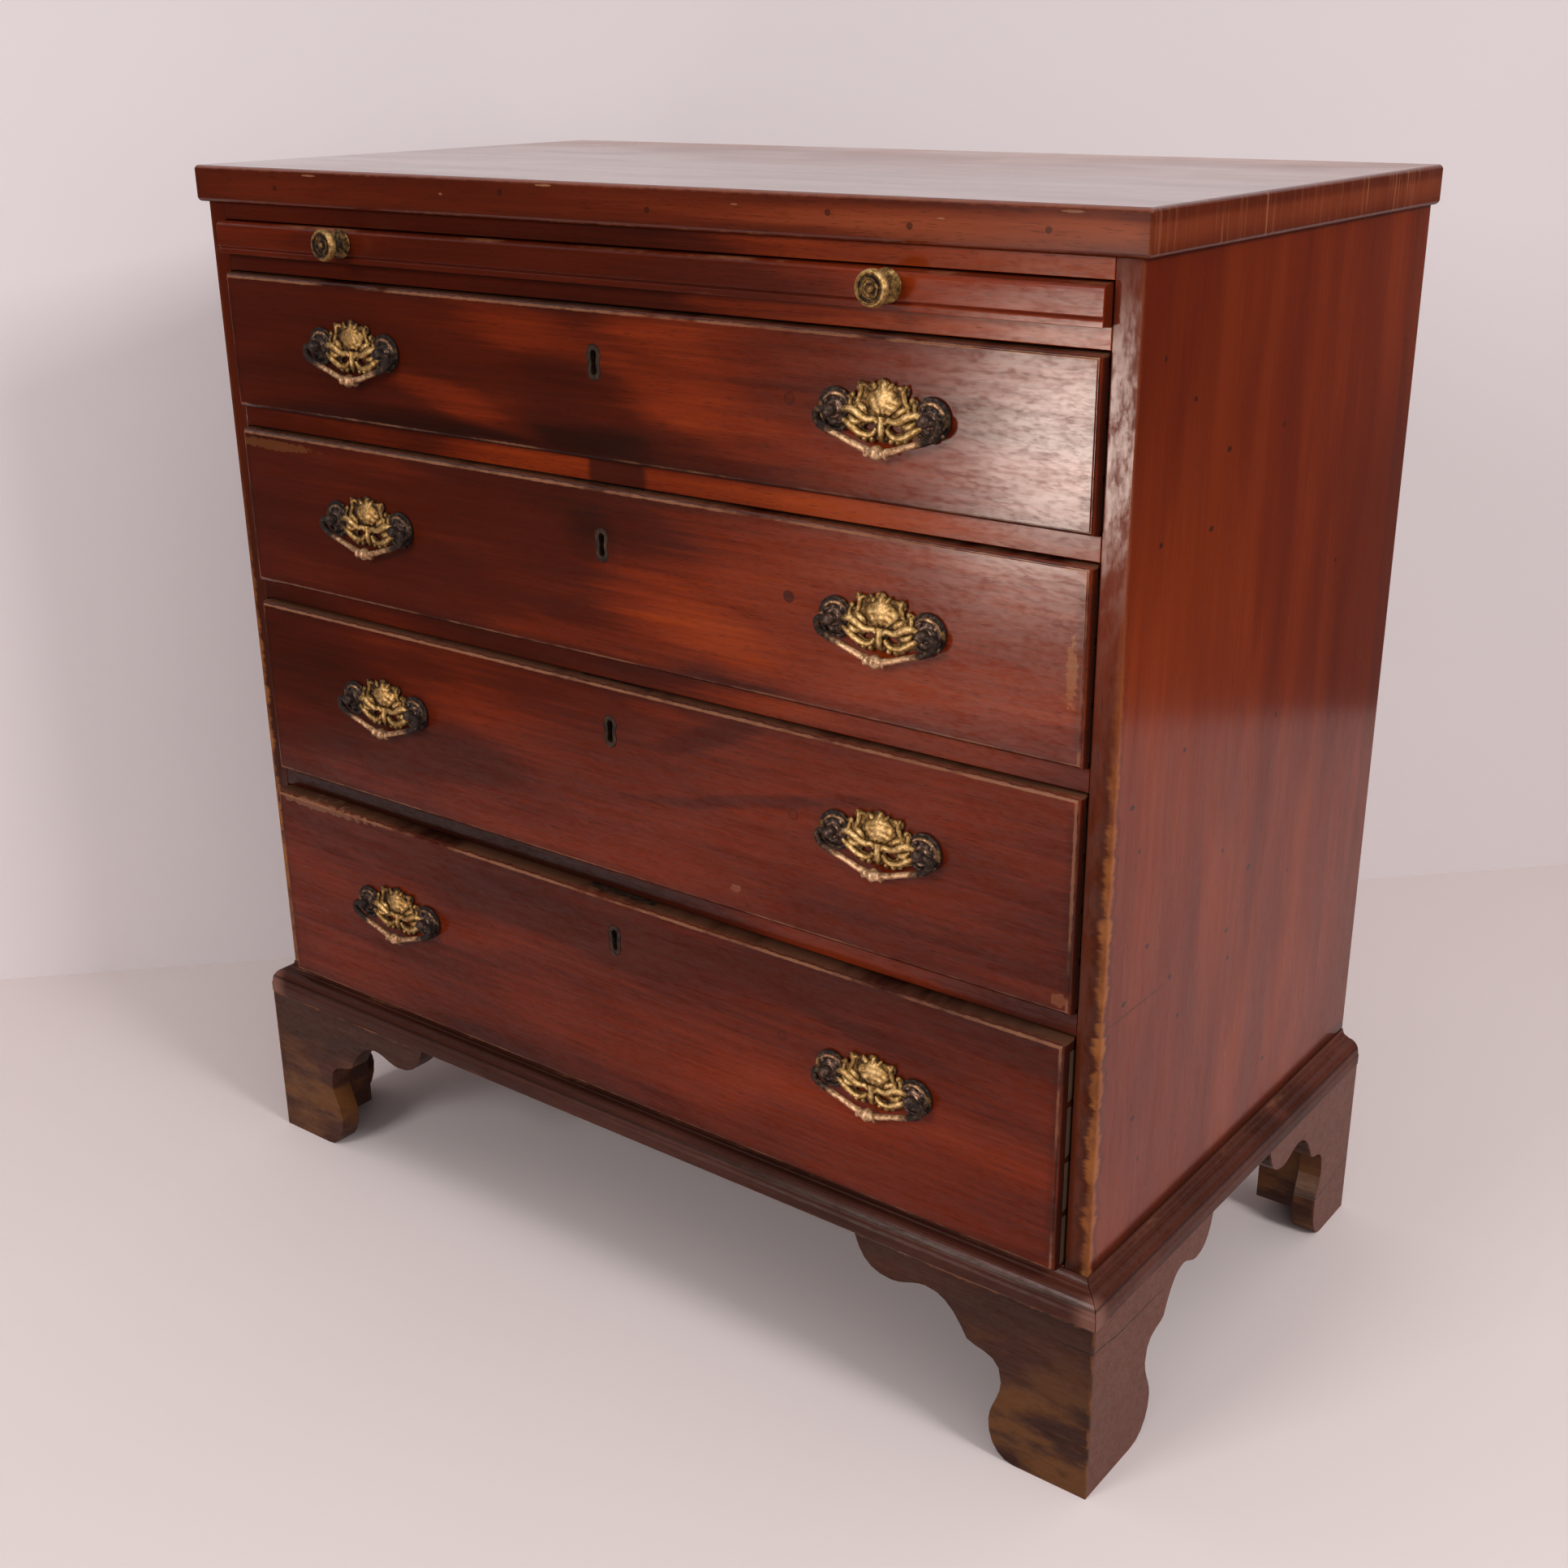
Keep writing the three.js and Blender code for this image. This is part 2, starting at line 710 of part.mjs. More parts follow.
function drawerFront(sizes) {
  const face = outline([
    [-frontHalf, frontLift],
    [frontHalf, frontLift],
    [frontHalf, sizes.frontTop],
    [-frontHalf, sizes.frontTop],
  ]);
  const slab = new THREE.ExtrudeGeometry(face, {
    depth: frontThick,
    bevelThickness: frontRoundDepth,
    bevelSize: frontRound,
    bevelOffset: -frontRound,
    bevelSegments: 2,
  });
  slab.applyMatrix4(seenFromFront);
  slab.translate(0, frontThick + frontRoundDepth + frontStep, 0);
  const fieldInset = frontRound + frontLand;
  const field = block(
    -frontHalf + fieldInset,
    frontHalf - fieldInset,
    0,
    2 * frontStep,
    frontLift + fieldInset,
    sizes.frontTop - fieldInset,
  );
  const waste = block(
    -frontHalf - overrun,
    frontHalf + overrun,
    frontThick,
    frontThick + 2 * frontRoundDepth + frontStep + overrun,
    -overrun,
    sizes.frontTop + overrun,
  );
  const inner = frontHalf - drawerSideThick - seatGap;
  const groove = block(
    -frontHalf + drawerSideThick / 2,
    frontHalf - drawerSideThick / 2,
    frontThick - grooveDepth,
    frontThick + overrun,
    grooveBottom,
    grooveTop,
  );
  const holes = [];
  for (const side of [-1, 1]) {
    for (const end of [-1, 1]) {
      const hole = roundBar(shankRadius + boreGap, -overrun, frontThick + overrun, 6);
      const place = (side * handleSpacing + end * postSpacing) / 2;
      holes.push(hole.translate([place, 0, sizes.handleHeight + postRise]));
    }
  }
  return cutBy(solidFrom(slab).add(field), [
    waste,
    groove,
    ...tailSockets(sizes.frontTails, frontThick, lap, inner, frontHalf + overrun),
    ...tailSockets(sizes.frontTails, frontThick, lap, -frontHalf - overrun, -inner),
    lockSpace(sizes, seatGap),
    ...holes,
  ]);
}

// Plate outline, right half from the crest down: each lobe's centre, radius and the two angles
// that it turns through in degrees. Lengths are shares of the plate's half width.
const plateLobeShares = [
  [0, 0.355, 0.095, 90, 10],
  [0.33, 0.315, 0.07, 130, -60],
  [0.335, 0.15, 0, 0, 0],
  [0.475, 0.175, 0.058, 150, 20],
  [0.7236, 0.011, 0.2764, 128, -125],
  [0.31, -0.26, 0.085, -20, -150],
  [0, -0.27, 0.075, -40, -90],
];
const eyeShares = [0.22, -0.2, 0.1, 0.05];
const eyeTurn = 20;
const lobeStep = 60;
const halfTurn = 180;

function plateOutline() {
  const mirrored = plateLobeShares.map(([u, w, r, from, to]) => [-u, w, r, halfTurn - to, halfTurn - from]);
  const points = [];
  for (const [u, w, r, from, to] of [...plateLobeShares, ...mirrored.reverse()]) {
    const steps = Math.max(1, Math.round(Math.abs(to - from) / lobeStep));
    for (let i = r > 0 ? 0 : steps; i <= steps; i += 1) {
      const angle = THREE.MathUtils.degToRad(from + ((to - from) * i) / steps);
      const point = new THREE.Vector2(u + r * Math.cos(angle), w + r * Math.sin(angle));
      points.push(point.multiplyScalar(plateHalf));
    }
  }
  const apart = (point, i) => i === 0 || point.distanceTo(points[i - 1]) > weld;
  const shape = new THREE.Shape(points.filter(apart));
  const [u, w, long, high] = eyeShares.map((share) => share * plateHalf);
  for (const side of [-1, 1]) {
    const turn = -side * THREE.MathUtils.degToRad(eyeTurn);
    const eye = new THREE.Path();
    eye.absellipse(side * u, w, long, high, 0, 2 * Math.PI, false, turn);
    shape.holes.push(eye);
  }
  return shape;
}

// The plate's scallop shell: ribs fan up from a low centre, each ridge and valley one step apart
const shellRibs = 4;
const shellFrom = -12;
const shellTo = 192;
const shellRingShares = [[0.36, 1], [0.72, 0.92], [1, 0.3]];
const shellHubShare = 0.5;
const valleyShare = 0.74;
const shellWidthShare = 0.88;
const valleyReachShare = 0.9;

function shell() {
  const steps = 2 * shellRibs;
  const base = seatGap + plateThick / 2;
  const top = seatGap + plateThick;
  const at = (reach, angle, height) => [
    reach * shellWidthShare * Math.cos(angle),
    -height,
    reach * Math.sin(angle) + shellRise,
  ];
  const hub = at(0, 0, top + shellHeight * shellHubShare);
  const sole = at(0, 0, base);
  const spokes = [];
  for (let i = 0; i <= steps; i += 1) {
    const angle = THREE.MathUtils.degToRad(shellFrom + ((shellTo - shellFrom) * i) / steps);
    const ridge = i % 2 === 1;
    const spoke = shellRingShares.map(([reach, height]) => at(
      shellRadius * reach * (ridge ? 1 : valleyReachShare),
      angle,
      top + shellHeight * height * (ridge ? 1 : valleyShare),
    ));
    spoke.push(at(shellRadius * (ridge ? 1 : valleyReachShare), angle, base));
    spokes.push([hub, ...spoke, sole]);
  }
  const triangles = [];
  for (let i = 0; i < steps; i += 1) {
    for (let j = 0; j < spokes[0].length - 1; j += 1) {
      const [a, b, c, d] = [spokes[i][j], spokes[i][j + 1], spokes[i + 1][j + 1], spokes[i + 1][j]];
      triangles.push([a, b, c], [a, c, d]);
    }
  }
  for (const [spoke, flip] of [[spokes[0], true], [spokes[steps], false]]) {
    for (let j = 0; j < spoke.length - 2; j += 1) {
      const [a, b] = flip ? [spoke[j + 1], spoke[j]] : [spoke[j], spoke[j + 1]];
      triangles.push([sole, a, b]);
    }
  }
  const geometry = new THREE.BufferGeometry();
  geometry.setAttribute('position', new THREE.Float32BufferAttribute(triangles.flat(2), 3));
  return solidFrom(geometry);
}

// A strap of the plate, a tapered rod half sunk in it
const strapShares = [0.2, -0.02, 0.58, 0.1];

function strap(side) {
  const [u0, w0, u1, w1] = strapShares;
  const from = new THREE.Vector3(side * u0, 0, w0).multiplyScalar(plateHalf);
  const to = new THREE.Vector3(side * u1, 0, w1).multiplyScalar(plateHalf);
  const along = to.clone().sub(from);
  const rod = new THREE.CylinderGeometry(strapRadius, strapRadius / 2, along.length(), 5);
  rod.applyQuaternion(new THREE.Quaternion().setFromUnitVectors(yAxis, along.clone().normalize()));
  const middle = from.clone().add(to).divideScalar(2);
  rod.translate(middle.x, -seatGap - plateThick, middle.z);
  return solidFrom(rod);
}

// A post: nut and shank behind, rosette on the plate, then a neck and the ball that holds the bail
function post() {
  const plateFace = seatGap + plateThick;
  const cup = plateFace + rosetteRise;
  const bolt = turnedOut([
    [0, -frontThick - seatGap - nutThick],
    [nutRadius, -frontThick - seatGap - nutThick],
    [nutRadius, -frontThick - seatGap],
    [shankRadius, -frontThick - seatGap],
    [shankRadius, plateFace],
    [0, plateFace],
  ], 4);
  const head = turnedOut([
    [0, seatGap],
    [rosetteRadius, seatGap],
    [rosetteRadius - rosetteRise / 2, cup],
    [neckRadius, (plateFace + cup) / 2],
    [neckRadius, pinReach - ballRadius * Math.SQRT1_2],
    [ballRadius, pinReach],
    [ballRadius * Math.SQRT1_2, pinReach + ballRadius * Math.SQRT1_2],
    [0, pinReach + ballRadius],
  ], 7);
  return solidFrom(bolt).add(solidFrom(head));
}

function handlePlate() {
  const plate = frontOn(plateOutline(), -seatGap - plateThick, -seatGap, 3);
  const posts = [];
  const bores = [];
  for (const side of [-1, 1]) {
    const place = (side * postSpacing) / 2;
    posts.push(post().translate([place, 0, postRise]));
    const length = pinDepth + boreGap + ballRadius + overrun;
    const bore = new THREE.CylinderGeometry(bailRadius + boreGap, bailRadius + boreGap, length, 6);
    bore.rotateZ(Math.PI / 2);
    bore.translate(place + side * (length / 2 - pinDepth - boreGap), -pinReach, postRise);
    bores.push(solidFrom(bore));
  }
  const straps = [-1, 1].map((side) => strap(side));
  const soleCut = block(
    -plateHalf,
    plateHalf,
    -seatGap,
    frontThick + seatGap,
    -plateHalf,
    plateHalf,
  );
  const face = cutBy(joined([plate, shell(), ...straps]), [soleCut]);
  return cutBy(joined([face, ...posts]), bores);
}

// The bail hangs from the posts by pins that enter the balls from outside. Its route goes on
// from a pin round to the knuckle, as shares of the bail's reach from the centre and of its drop.
const bailRouteShares = [
  [0.985, -0.05],
  [1, -0.2],
  [0.965, -0.36],
  [0.85, -0.5],
  [0.5, -0.74],
  [0, -1],
];
const knuckleShares = [[0.7, -1], [0.62, -0.45], [1, 0], [0.62, 0.45], [0.7, 1]];

// A curve whose steps fall on the points that it was drawn through
class PointedRoute extends THREE.CatmullRomCurve3 {
  getUtoTmapping(share) {
    return share;
  }
}

function bail() {
  const pin = [-pinDepth, ballRadius].map((reach) => new THREE.Vector3(postSpacing / 2 + reach, 0, 0));
  const arm = bailRouteShares.map(([u, w]) => new THREE.Vector3(u * bailReach, 0, w * bailDrop));
  const half = [...pin, ...arm];
  const other = half.slice(0, -1).map((point) => new THREE.Vector3(-point.x, 0, point.z));
  const route = new PointedRoute([...half, ...other.reverse()], false, 'centripetal');
  const section = new THREE.Shape();
  section.absarc(0, 0, bailRadius, 0, 2 * Math.PI, false);
  const bar = new THREE.ExtrudeGeometry(section, {
    steps: 2 * (half.length - 1),
    extrudePath: route,
    curveSegments: 3,
  });
  const turned = [[0, -1], ...knuckleShares, [0, 1]].map(([radius, place]) => (
    new THREE.Vector2(radius * knuckleRadius, (place * knuckleLength) / 2)
  ));
  const knuckle = new THREE.LatheGeometry(turned, 6);
  knuckle.rotateZ(Math.PI / 2);
  knuckle.translate(0, 0, -bailDrop);
  return solidFrom(bar).add(solidFrom(knuckle));
}

// Carcass
add(chest, 'top', topBoard(), topMahogany);
for (const [name, side] of [['left', -1], ['right', 1]]) {
  add(chest, `side_${name}`, sideBoard(side), sideMahogany);
}
add(chest, 'back_panel', backPanel(), pine);
const railFace = topRail(innerHalf - seatGap, carcassFront, 0);
const railTongue = topRail(innerHalf + housingDepth - seatGap, carcassFront + housingStop, 0);
add(chest, 'top_rail', railTongue.add(railFace), mahogany);
for (const { name, floor, thick, boardThick, drawer } of shelves) {
  const stopFront = drawer === undefined ? null : stopFrontOf(drawer);
  add(chest, name, railWithDustBoard(floor, thick, boardThick, stopFront), mahogany);
}
add(chest, 'base_moulding_front', mouldingRun(frontMoulding), footMahogany);
add(chest, 'base_moulding_right', mouldingRun(rightMoulding), footMahogany);
add(chest, 'base_moulding_left', mouldingRun(leftMoulding), footMahogany);
for (const [end, atFront] of [['front', true], ['back', false]]) {
  add(chest, `foot_${end}_left`, foot(-1, atFront), footMahogany);
  add(chest, `foot_${end}_right`, foot(1, atFront), footMahogany);
}

// Brushing slide with its two knobs
const slide = new THREE.Group();
slide.position.z = slideFloor + seatGap;
chest.add(slide);
add(slide, 'brushing_slide', slideBoard(), mahogany);
for (const [name, side] of [['left', -1], ['right', 1]]) {
  const mesh = add(slide, `slide_knob_${name}`, knob(), brass);
  mesh.position.set((side * knobSpacing) / 2, slideFront, slideThick / 2 + knobRise);
}

// Drawers, numbered from the top, each with its lock and its two handles
const plateForm = geometryFrom(handlePlate());
const bailForm = geometryFrom(bail());
drawerOpenings.forEach((opening, index) => {
  const sizes = drawerSizes(index);
  const drawer = new THREE.Group();
  drawer.position.set(0, frontPlane(index), openingFloors[index]);
  chest.add(drawer);
  const title = `drawer${index + 1}`;
  add(drawer, `${title}_front`, drawerFront(sizes), mahogany);
  add(drawer, `${title}_side_left`, drawerSide(-1, sizes), oak);
  add(drawer, `${title}_side_right`, drawerSide(1, sizes), oak);
  add(drawer, `${title}_back`, drawerBack(sizes), oak);
  add(drawer, `${title}_bottom`, drawerBottom(), oak);
  add(drawer, `${title}_lock`, lock(sizes), iron);
  for (const [name, side] of [['left', -1], ['right', 1]]) {
    const handle = new THREE.Group();
    handle.position.set((side * handleSpacing) / 2, 0, sizes.handleHeight);
    drawer.add(handle);
    add(handle, `${title}_plate_${name}`, plateForm.clone(), brass);
    const swing = add(handle, `${title}_bail_${name}`, bailForm.clone(), brass);
    swing.position.set(0, -pinReach, postRise);
  }
});

// The origin lies under the middle of the whole chest, handles and moulding included
const extent = new THREE.Box3().setFromObject(chest);
chest.position.y = -(extent.min.y + extent.max.y) / 2;

export default chest;
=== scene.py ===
from math import atan2, cos, dist, hypot, pi, radians, sin

import bpy
from mathutils import Matrix, Vector


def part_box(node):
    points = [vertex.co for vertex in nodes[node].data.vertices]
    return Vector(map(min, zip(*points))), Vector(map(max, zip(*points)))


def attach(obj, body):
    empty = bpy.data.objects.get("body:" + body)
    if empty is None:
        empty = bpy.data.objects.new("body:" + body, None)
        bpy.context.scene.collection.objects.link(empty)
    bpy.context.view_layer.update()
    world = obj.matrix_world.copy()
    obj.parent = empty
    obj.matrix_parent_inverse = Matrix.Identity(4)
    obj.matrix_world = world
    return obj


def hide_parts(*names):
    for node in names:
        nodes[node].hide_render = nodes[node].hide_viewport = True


# Bachelors chest in mahogany: four drawers, a brushing slide and brass handles.
# Metres; +X is the chest's right, +Y its back, +Z up.

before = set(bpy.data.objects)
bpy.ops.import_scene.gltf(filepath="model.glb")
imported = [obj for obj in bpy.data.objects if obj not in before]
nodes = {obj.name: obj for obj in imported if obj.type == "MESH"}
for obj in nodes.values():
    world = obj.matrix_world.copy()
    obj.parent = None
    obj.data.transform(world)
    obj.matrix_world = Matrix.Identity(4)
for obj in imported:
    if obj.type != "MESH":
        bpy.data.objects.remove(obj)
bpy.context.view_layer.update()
print("frame loaded:", len(nodes), "nodes")


# A wire carries one socket's value, and sums on wires become Math nodes
class Wire:
    def __init__(self, finish, socket):
        self.finish = finish
        self.socket = socket

    def maths(self, operation, *values):
        return self.finish.node("Math", {"operation": operation}, dict(enumerate(values)))

    # 0 at low, 1 at high, eased between
    def between(self, low, high):
        settings = {"interpolation_type": "SMOOTHSTEP"}
        return self.finish.node("MapRange", settings, {"Value": self, 1: low, 2: high})

    def out(self, name):
        return Wire(self.finish, self.socket.node.outputs[name])


# One operation of wires, as a Math node; turned round, the wire comes last
def wireMaths(operation, turnedRound=False):
    def method(wire, *values):
        return wire.maths(operation, *((*values, wire) if turnedRound else (wire, *values)))

    return method


wireOperations = {"__add__": "ADD", "__sub__": "SUBTRACT", "__mul__": "MULTIPLY", "__pow__": "POWER",
                  "__abs__": "ABSOLUTE", "least": "MINIMUM", "most": "MAXIMUM", "sine": "SINE"}
for method, operation in wireOperations.items():
    setattr(Wire, method, wireMaths(operation))
Wire.__radd__, Wire.__rsub__ = wireMaths("ADD", True), wireMaths("SUBTRACT", True)


# A finish is one material; node() makes any node from its type, settings and sockets
class Finish:
    def __init__(self, name="", world=None):
        self.material = world or bpy.data.materials.new(name)
        self.material.use_nodes = True
        self.tree = self.material.node_tree
        self.tree.nodes.clear()
        if world:
            self.way = self.node("TexCoord").out("Generated")
            return
        place = self.node("TexCoord").out("Object")
        self.place = place
        parts = self.node("SeparateXYZ", {}, {0: place})
        self.x, self.y, self.z = parts.out("X"), parts.out("Y"), parts.out("Z")

    def node(self, kind, settings=None, sockets=None):
        made = self.tree.nodes.new("ShaderNode" + kind)
        for name, value in (settings or {}).items():
            if name == "stops":
                self.setStops(made.color_ramp, value)
            else:
                setattr(made, name, value)
        for name, value in (sockets or {}).items():
            socket = made.inputs[name]
            if isinstance(value, Wire):
                self.tree.links.new(value.socket, socket)
            elif socket.type == "RGBA" and len(value) == 3:
                socket.default_value = (*value, 1)
            else:
                socket.default_value = value
        visible = [socket for socket in made.outputs if socket.enabled]
        return Wire(self, visible[0]) if visible else made

    def setStops(self, ramp, stops):
        while len(ramp.elements) > 1:
            ramp.elements.remove(ramp.elements[-1])
        for i, (position, colour) in enumerate(stops):
            element = ramp.elements[0] if i == 0 else ramp.elements.new(position)
            element.position = position
            element.color = (*colour, 1)

    def join(self, x, y, z):
        return self.node("CombineXYZ", {}, {0: x, 1: y, 2: z})

    def noise(self, where, scale, detail=2.0, roughness=0.5, distortion=0.0):
        values = {"Vector": where, "Scale": scale, "Detail": detail, "Roughness": roughness,
                  "Distortion": distortion}
        return self.node("TexNoise", {}, values)

    # A noise drawn out by different amounts along x, y and z
    def stretched(self, x, y, z, *values):
        return self.noise(self.join(x, y, z), 1.0, *values)

    # Along the grain, across it and through the board; the seed moves the figure
    def axes(self, grain, seed):
        along, across, through = {"x": (self.x, self.z, self.y), "y": (self.y, self.z, self.x),
                                  "z": (self.z, self.y, self.x)}[grain]
        return along, across + seed, through

    def ramp(self, value, stops):
        return self.node("ValToRGB", {"stops": stops}, {0: value})

    def blend(self, share, first, second):
        mixed = self.node("Mix", {"data_type": "RGBA"}, {0: share, 6: first, 7: second})
        return Wire(self, mixed.socket.node.outputs[2])

    # Lays a tone over the finish's colour so far, by its share
    def over(self, share, tint):
        self.colour = self.blend(share, self.colour, tint)

    def bump(self, height, strength, distance):
        return self.node("Bump", {}, {"Height": height, "Strength": strength, "Distance": distance})

    # The finished surface; constants are set on the shader's own sockets
    def surface(self, **values):
        named = {"colour": "Base Color", "roughness": "Roughness", "metal": "Metallic", "normal": "Normal",
                 "coat": "Coat Weight", "coatRoughness": "Coat Roughness", "coatIor": "Coat IOR",
                 "specular": "Specular IOR Level"}
        sockets = {named[key]: value for key, value in values.items()}
        shader = self.node("BsdfPrincipled", {}, sockets)
        self.node("OutputMaterial", {}, {"Surface": shader})
        return self.material


# Colour as written on a screen, to the linear one that the shaders use
def tone(red, green, blue):
    share = [c / 255 for c in (red, green, blue)]
    return tuple(c / 12.92 if c <= 0.04045 else ((c + 0.055) / 1.055) ** 2.4 for c in share)


cameraSettings = {"place": (0.85904, -1.12021, 0.88750), "azimuth": 37.4319, "elevation": 21.4356,
                  "roll": -0.5782, "lens": 44.348, "shift": (-0.001425, 0.01022), "sensor": 36,
                  "clip": (0.05, 50)}


def linked(name, data):
    thing = bpy.data.objects.new(name, data)
    bpy.context.scene.collection.objects.link(thing)
    return thing


def makeCamera():
    settings = cameraSettings
    turn, rise, roll = (radians(settings[key]) for key in ("azimuth", "elevation", "roll"))
    back = Vector((sin(turn) * cos(rise), -cos(turn) * cos(rise), sin(rise)))
    right = Vector((cos(turn), sin(turn), 0))
    up = back.cross(right)
    across = right * cos(roll) + up * sin(roll)
    upright = up * cos(roll) - right * sin(roll)
    data = bpy.data.cameras.new("camera")
    data.lens = settings["lens"]
    data.sensor_width = settings["sensor"]
    data.shift_x, data.shift_y = settings["shift"]
    data.clip_start, data.clip_end = settings["clip"]
    camera = linked("camera", data)
    camera.matrix_world = Matrix((across, upright, back)).transposed().to_4x4()
    camera.location = settings["place"]
    bpy.context.scene.camera = camera
    bpy.context.scene.view_settings.view_transform = "Standard"


makeCamera()
print("camera placed")


# A roll of pale paper hangs behind the chest and runs out under it, on a darker studio floor
paperSettings = {"along": (0.6954, 0.7186), "out": (0.7186, -0.6954), "join": -0.483, "left": -1.45,
                 "right": 1.6, "reach": 1.9, "height": 2.4, "wall": tone(214, 204, 205),
                 "floor": tone(215, 203, 201), "mottle": 0.93}
studioSettings = {"far": 9, "height": -0.004, "dark": tone(40, 38, 37), "light": tone(56, 53, 52)}


def paperPoint(side, reach, height):
    along, out = paperSettings["along"], paperSettings["out"]
    return Vector((along[0] * side + out[0] * reach, along[1] * side + out[1] * reach, height))


def deselect():
    for thing in bpy.context.selected_objects:
        thing.select_set(False)


# A finished piece has its place in its mesh and its object at the origin
def settle(thing):
    thing.data.transform(thing.matrix_world)
    thing.matrix_world = Matrix.Identity(4)
    thing.data.update()
    return thing


def flatSheet(name, corners, finish):
    mesh = bpy.data.meshes.new(name)
    mesh.from_pydata([tuple(corner) for corner in corners], [], [tuple(range(len(corners)))])
    sheet = linked(name, mesh)
    mesh.materials.append(finish)
    return sheet


def paperFinish(name, colour, oneSided):
    f = Finish(name)
    mottle = f.noise(f.place, 1.7, 3.0)
    darker = tuple(c * paperSettings["mottle"] for c in colour)
    shade = f.blend(mottle, darker, colour)
    values = {"Base Color": shade, "Roughness": 0.9, "Specular IOR Level": 0.2}
    shader = f.node("BsdfPrincipled", {}, values)
    if oneSided:
        behind = f.node("NewGeometry").out("Backfacing")
        clear = f.node("BsdfTransparent")
        shader = f.node("MixShader", {}, {0: behind, 1: shader, 2: clear})
    f.node("OutputMaterial", {}, {"Surface": shader})
    return f.material


def makeStage():
    s = paperSettings
    floor = [paperPoint(s["left"], s["join"], 0), paperPoint(s["left"], s["reach"], 0),
             paperPoint(s["right"], s["reach"], 0), paperPoint(s["right"], s["join"], 0)]
    flatSheet("paperFloor", floor, paperFinish("paperFloorFinish", s["floor"], False))
    wall = [paperPoint(s["left"], s["join"], 0), paperPoint(s["right"], s["join"], 0),
            paperPoint(s["right"], s["join"], s["height"]), paperPoint(s["left"], s["join"], s["height"])]
    flatSheet("paperWall", wall, paperFinish("paperWallFinish", s["wall"], True))
    far, low = studioSettings["far"], studioSettings["height"]
    studio = [(-far, -far, low), (far, -far, low), (far, far, low), (-far, far, low)]
    f = Finish("studioFloorFinish")
    mottle = f.noise(f.place, 0.8, 3.0)
    colour = f.blend(mottle, studioSettings["dark"], studioSettings["light"])
    f.surface(colour=colour, roughness=0.85, specular=0.2)
    flatSheet("studioFloor", studio, f.material)


makeStage()
print("stage set")


lampSettings = [
    {"name": "rightLamp", "place": (2.6, -0.4, 2.05), "aim": (0, 0, 0.5), "size": 0.7, "power": 48},
    {"name": "frontLamp", "place": (-0.5, -2.7, 1.65), "aim": (0, 0, 0.4), "size": 1.0, "power": 37},
    {"name": "lowLamp", "place": (-0.80, -2.3, 0.22), "aim": (0.35, -0.2, 0.68), "size": 0.25, "power": 2.2},
    {"name": "gleamLamp", "place": (-0.76, -2.3, 0.225), "aim": (0.36, -0.2, 0.66), "size": 0.34,
     "height": 0.39, "power": 15.6, "colour": (1.0, 0.80, 0.68), "gleamOnly": True},
]


# The studio is dark in front and to the left of the chest, and behind it to the right
worldSettings = {"light": tone(212, 208, 208), "dark": tone(24, 23, 23), "strength": 1.32,
                 "darkWays": [((-0.50, -0.84, -0.20), 0.30, 0.80), ((0.62, 0.75, -0.22), 0.55, 0.85)]}


def makeLamps():
    for settings in lampSettings:
        data = bpy.data.lights.new(settings["name"], "AREA")
        data.shape = "RECTANGLE"
        data.size = settings["size"]
        data.size_y = settings.get("height", settings["size"])
        data.energy = settings["power"]
        data.color = settings.get("colour", (1.0, 1.0, 1.0))
        lamp = linked(settings["name"], data)
        lamp.location = settings["place"]
        aim = Vector(settings["aim"]) - Vector(settings["place"])
        lamp.rotation_mode = "QUATERNION"
        lamp.rotation_quaternion = aim.to_track_quat("-Z", "Y")
        lamp.visible_camera = False
        lamp.visible_diffuse = not settings.get("gleamOnly", False)
    world = bpy.data.worlds.new("studio")
    bpy.context.scene.world = world
    f = Finish(world=world)
    colour = worldSettings["light"]
    for way, low, high in worldSettings["darkWays"]:
        facing = f.node("VectorMath", {"operation": "DOT_PRODUCT"}, {0: f.way, 1: way}).out("Value")
        colour = f.blend(facing.between(low, high), colour, worldSettings["dark"])
    background = f.node("Background", {}, {"Color": colour, "Strength": worldSettings["strength"]})
    f.node("OutputWorld", {}, {"Surface": background})


makeLamps()
print("lamps hung")


# Distance of a point on a board from the nearest edge of the board's box
def edgeDistance(f, low, high):
    gaps = [(wire - low[i]).least(high[i] - wire) for i, wire in enumerate((f.x, f.y, f.z))]
    small = gaps[0].least(gaps[1])
    large = gaps[0].most(gaps[1])
    return small.most(large.least(gaps[2]))


# Each noise of the wood: stretch along and across the grain, detail, roughness and distortion
grainSettings = {"sway": (1.6, 4, 2.0), "figure": (2.2, 13, 4.0, 0.55, 0.5), "fibres": (10, 380, 3.0, 0.6),
                 "pores": (110, 1500, 1.0), "smear": (6, 30, 3.0), "waves": (5, 16, 2.0),
                 "craze": (150, 420, 3.0, 0.7), "scuffs": (22, 130, 4.0, 0.65),
                 "plainFigure": (1.5, 16, 4.0, 0.6, 0.4), "plainFibres": (12, 500, 2.0)}
woodSettings = {"rings": (95, 34, 8), "pores": (0.60, 0.72), "figure": 0.62, "ring": 0.035, "fibre": 0.26,
                "middle": 0.475, "stops": (0.10, 0.40, 0.62, 0.90), "flecks": 0.4, "grime": (0.011, 0.001),
                "ragged": 0.0045, "rub": (0.0020, 0.0006), "blotch": (0.42, 0.62), "bump": (0.35, 0.0007)}


def grained(f, axes, kind):
    along, across, through = axes
    length, width, *values = grainSettings[kind]
    return f.stretched(along * length, across * width, through * width, *values)


